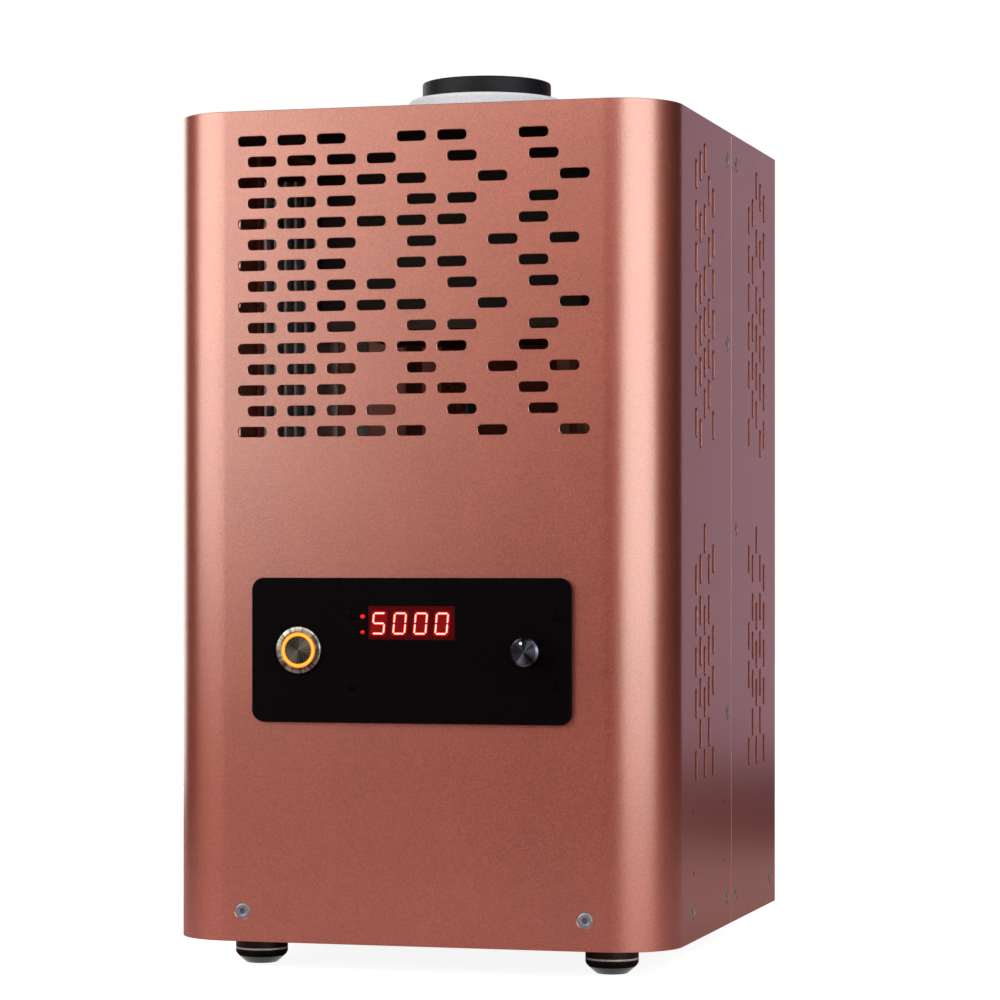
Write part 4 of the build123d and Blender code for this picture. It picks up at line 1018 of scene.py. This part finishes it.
knob = {
    "radius": 8.5 * mm,
    "face": 7.0 * mm,
    "faceSunk": 0.08 * mm,  # so that the dot stands clear of it
    "ridges": 40,
    "ridge": 0.25 * mm,
    "length": knobHigh.y - knobLow.y,
    "bore": 10 * mm,
    "shaft": 3.05 * mm,
    "dotRadius": 0.85 * mm,
    "dotDepth": 0.3 * mm,
    "dotReach": 5.2 * mm,
    "dotTurn": 19,  # degrees left of straight up
}
knobFront = frontAt(knobMiddle.x, knobLow.y, knobMiddle.z)
# aluminium, faced and anodised black, with blue-grey painted highlights in streaks that cross in the middle
finishes["knob_black"] = spunFinishPaintedHighlights(
    "facedBlackAluminium", "#85869c", "#1c1d28", (knobMiddle.x, knobLow.y, knobMiddle.z), 0.3, 1.6,
)
radius, length, sunk = knob["radius"], knob["length"], knob["faceSunk"]
knobMesh = turnedMesh("knobBody", [
    (0, -sunk), (knob["face"], -sunk), (knob["face"] + 0.2 * mm, -0.3 * mm),
    (radius - 0.3 * mm, -1.3 * mm), (radius, -1.8 * mm), (radius, 1.0 * mm - length),
    (radius - 0.5 * mm, -length), (knob["shaft"], -length),
    (knob["shaft"], knob["bore"] - length), (0, knob["bore"] - length),
], knobFront, 2 * knob["ridges"])
for vertex in knobMesh.vertices:  # every second line of the side is drawn in, which makes the ridges
    arm = Vector((vertex.co.x - knobMiddle.x, 0, vertex.co.z - knobMiddle.z))
    line = round((math.atan2(arm.z, arm.x) / (2 * math.pi)) * 2 * knob["ridges"])
    if arm.length > radius - 0.01 * mm and line % 2:
        vertex.co -= arm.normalized() * knob["ridge"]
knobBody = newPiece("knobBody", knobMesh)
finishPiece(knobBody, "knob", "knob_black", ("knob",), angle=25)
turn, reach = math.radians(90 + knob["dotTurn"]), knob["dotReach"]
dotPlace = knobFront @ Matrix.Translation((reach * math.cos(turn), reach * math.sin(turn), 0))
# enamel paint: a plain white dot
dotPaint = workedFinish("dotPaint", "#f4f2f0", "#e6e2de", 0.5 * mm, 0.4, 0.02, 0.002 * mm)
turnedPiece("knobDot", [
    (0, -knob["dotDepth"]), (knob["dotRadius"], -knob["dotDepth"]), (knob["dotRadius"], 0), (0, 0),
], dotPlace, 24, "knob", "knob_black", material=dotPaint)
print("button and knob made")


# melting mouth: a fired liner with a rounded collar, a graphite crucible and its lid

linerLow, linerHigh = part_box("liner")
crucibleLow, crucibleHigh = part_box("crucible")
lidLow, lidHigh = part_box("lid")
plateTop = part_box("top_plate")[1].z
melt = {
    "collar": 48 * mm,
    "liner": 41 * mm,
    "bore": 35 * mm,
    "crucible": 34 * mm,
    "wall": 7 * mm,
    "floor": 9 * mm,
    "lid": 39.5 * mm,
}
lidMiddle = middle(lidLow, lidHigh)
meltAxis = Matrix.Translation((lidMiddle.x, lidMiddle.y, 0))
bore, collar, top, bottom = melt["bore"], melt["collar"], linerHigh.z, linerLow.z
turnedPiece("linerAndCollar", [
    (bore, bottom), (bore, top - 0.8 * mm), (bore + 0.8 * mm, top), (collar - 2.4 * mm, top),
    (collar - 1.0 * mm, top - 0.5 * mm), (collar - 0.2 * mm, top - 1.4 * mm), (collar, top - 2.6 * mm),
    (collar, plateTop), (melt["liner"], plateTop), (melt["liner"], bottom), (bore, bottom),
], meltAxis, 128, "housing", "ceramic", ("liner",), angle=40)
radius, top, bottom = melt["crucible"], crucibleHigh.z, crucibleLow.z
inside, bowl = radius - melt["wall"], bottom + melt["floor"]
turnedPiece("crucibleBody", [
    (0, bottom), (radius - 1.5 * mm, bottom), (radius, bottom + 1.5 * mm), (radius, top - 0.5 * mm),
    (radius - 0.5 * mm, top), (inside + 0.8 * mm, top), (inside, top - 0.8 * mm),
    (inside, bowl + 8 * mm), (inside - 2.4 * mm, bowl + 2.4 * mm), (inside - 8 * mm, bowl), (0, bowl),
], meltAxis, 96, "crucible", "graphite", ("crucible",), angle=50)
radius, top, bottom = melt["lid"], lidHigh.z, lidLow.z
turnedPiece("lidDisc", [
    (0, bottom), (radius - 0.8 * mm, bottom), (radius, bottom + 0.8 * mm), (radius, top - 1.2 * mm),
    (radius - 0.35 * mm, top - 0.35 * mm), (radius - 1.2 * mm, top), (0, top),
], meltAxis, 128, "lid", "graphite_lid", ("lid",), angle=50)
print("melting mouth made")


# studio: a white floor and background, soft boxes, dark cloth that only gloss sees, and the camera

studio = {
    "worldGrey": 0.6,
    "floor": "#b0b0b0",
    "floorWhite": 0.9,
    "floorHalf": 6,
    "boxes": (
        # name, degrees from straight ahead to both ends, both heights, brightness, distance, colour
        ("leftBox", -74, -20, 0.24, 0.85, 2.55, 1.5, "#fbfdf0"),
        ("leftTopBox", -74, -10, 0.85, 2.1, 2.2, 1.5, "#f9ffee"),
        ("frontTopBox", -10, 20, 0.88, 1.9, 1.5, 1.5, "#fff8f0"),
        ("rightBox", 23, 76, 0.05, 0.85, 2.6, 1.5, "#f3fdf2"),
        ("rightTopBox", 20, 84, 0.85, 2.0, 2.2, 1.5, "#f4fffa"),
        ("sideBox", 152, 184, 0.04, 1.5, 0.56, 1.3, "#f3cde0"),
        ("backBox", 196, 244, 0.0, 1.5, 2.0, 1.5, "#fff6ec"),
    ),
    "cloth": {"radius": 1.9, "height": 2.4, "lift": 0.004, "mat": 0.75},
    "darkCloth": "#262023",
    "greyMat": "#a88886",
    "camera": {"right": 0.5671, "back": 1.8628, "up": 0.2189, "turn": 15.44, "lens": 122.9, "shift": 0.06275},
}


def standingBox(start, end, low, high, reach):  # middle, width and height of a flat box that spans the angles
    turn = math.radians((start + end) / 2)
    width = 2 * reach * math.tan(math.radians(end - start) / 2)
    return Vector((reach * math.sin(turn), -reach * math.cos(turn), (low + high) / 2)), width, high - low


view = studio["camera"]
camera = bpy.data.objects.new("camera", bpy.data.cameras.new("camera"))
camera.data.sensor_width = 36
camera.data.lens = view["lens"]
camera.data.shift_y = view["shift"]
camera.data.clip_end = 50
camera.location = (view["right"], case["front"] - view["back"], case["bottom"] + view["up"])
camera.rotation_euler = (math.radians(90), 0, math.radians(view["turn"]))
scene.collection.objects.link(camera)
scene.camera = camera

for name, start, end, low, high, brightness, reach, shade in studio["boxes"]:
    place, width, height = standingBox(start, end, low, high, reach)
    lamp = bpy.data.lights.new(name, "AREA")
    lamp.shape = "RECTANGLE"
    lamp.color = hexColour(shade)[:3]
    lamp.size = width
    lamp.size_y = height
    lamp.energy = brightness * math.pi * width * height  # so that the box looks as bright as the number
    holder = bpy.data.objects.new(name, lamp)
    holder.location = place
    holder.rotation_euler = (math.radians(90), 0, math.radians((start + end) / 2))
    holder.visible_camera = False
    scene.collection.objects.link(holder)

# dark cloth round and over the set and a paler mat under it: the finishes reflect them,
# and the camera doesn't see them
cloth = studio["cloth"]
edge, lift = cloth["radius"], cloth["lift"]
clothProfile = [(0, cloth["height"]), (edge, cloth["height"]), (edge, lift), (cloth["mat"], lift)]
matProfile = [(cloth["mat"], lift), (0, lift)]
for name, profile in (("darkCloth", clothProfile), ("greyMat", matProfile)):
    material, tree, shader, place = newMaterial(name, Roughness=0.9, Specular_IOR_Level=0.0)
    shader.inputs["Base Color"].default_value = hexColour(studio[name])
    piece = newPiece(name, turnedMesh(name, profile, Matrix.Identity(4), 48))
    piece.data.materials.append(material)
    for rays in ("camera", "diffuse", "shadow", "transmission"):
        setattr(piece, "visible_" + rays, False)


def seenRays(tree):  # 1 for the lens, for gloss and for glass, and 0 for the light that falls on things
    rays = addNode(tree, "ShaderNodeLightPath")
    seen = addNode(tree, "ShaderNodeMath", {
        0: rays.outputs["Is Camera Ray"], 1: rays.outputs["Is Glossy Ray"],
    }, operation="MAXIMUM")
    shown = addNode(tree, "ShaderNodeMath", {
        0: seen.outputs[0], 1: rays.outputs["Is Transmission Ray"],
    }, operation="MAXIMUM")
    return shown.outputs[0]


world = bpy.data.worlds.new("studio")
scene.world = world
world.use_nodes = True
tree = world.node_tree
tree.nodes.clear()
grey = studio["worldGrey"]
around = addNode(tree, "ShaderNodeBackground", {"Color": (grey, grey, grey, 1), "Strength": 1.0})
white = addNode(tree, "ShaderNodeBackground", {"Color": (1, 1, 1, 1), "Strength": 1.0})
either = addNode(tree, "ShaderNodeMixShader", {0: seenRays(tree), 1: around.outputs[0], 2: white.outputs[0]})
addNode(tree, "ShaderNodeOutputWorld", {"Surface": either.outputs[0]})

# white paper: pale to the lens and to glass and metal, and a plain pale grey to the light that it takes
half = studio["floorHalf"]
floorCorners = [(-half, -half, 0), (half, -half, 0), (half, half, 0), (-half, half, 0)]
floor = newPiece("floor", meshFrom("floor", floorCorners, [(0, 1, 2, 3)]))
material, tree, shader, place = newMaterial("studioFloor", Roughness=0.9, Specular_IOR_Level=0.1)
shader.inputs["Base Color"].default_value = hexColour(studio["floor"])
glow = addNode(tree, "ShaderNodeMath", {0: seenRays(tree), 1: studio["floorWhite"]}, operation="MULTIPLY")
shader.inputs["Emission Color"].default_value = (1, 1, 1, 1)
tree.links.new(glow.outputs[0], shader.inputs["Emission Strength"])
floor.data.materials.append(material)

scene.view_settings.view_transform = "Standard"
print("studio made")
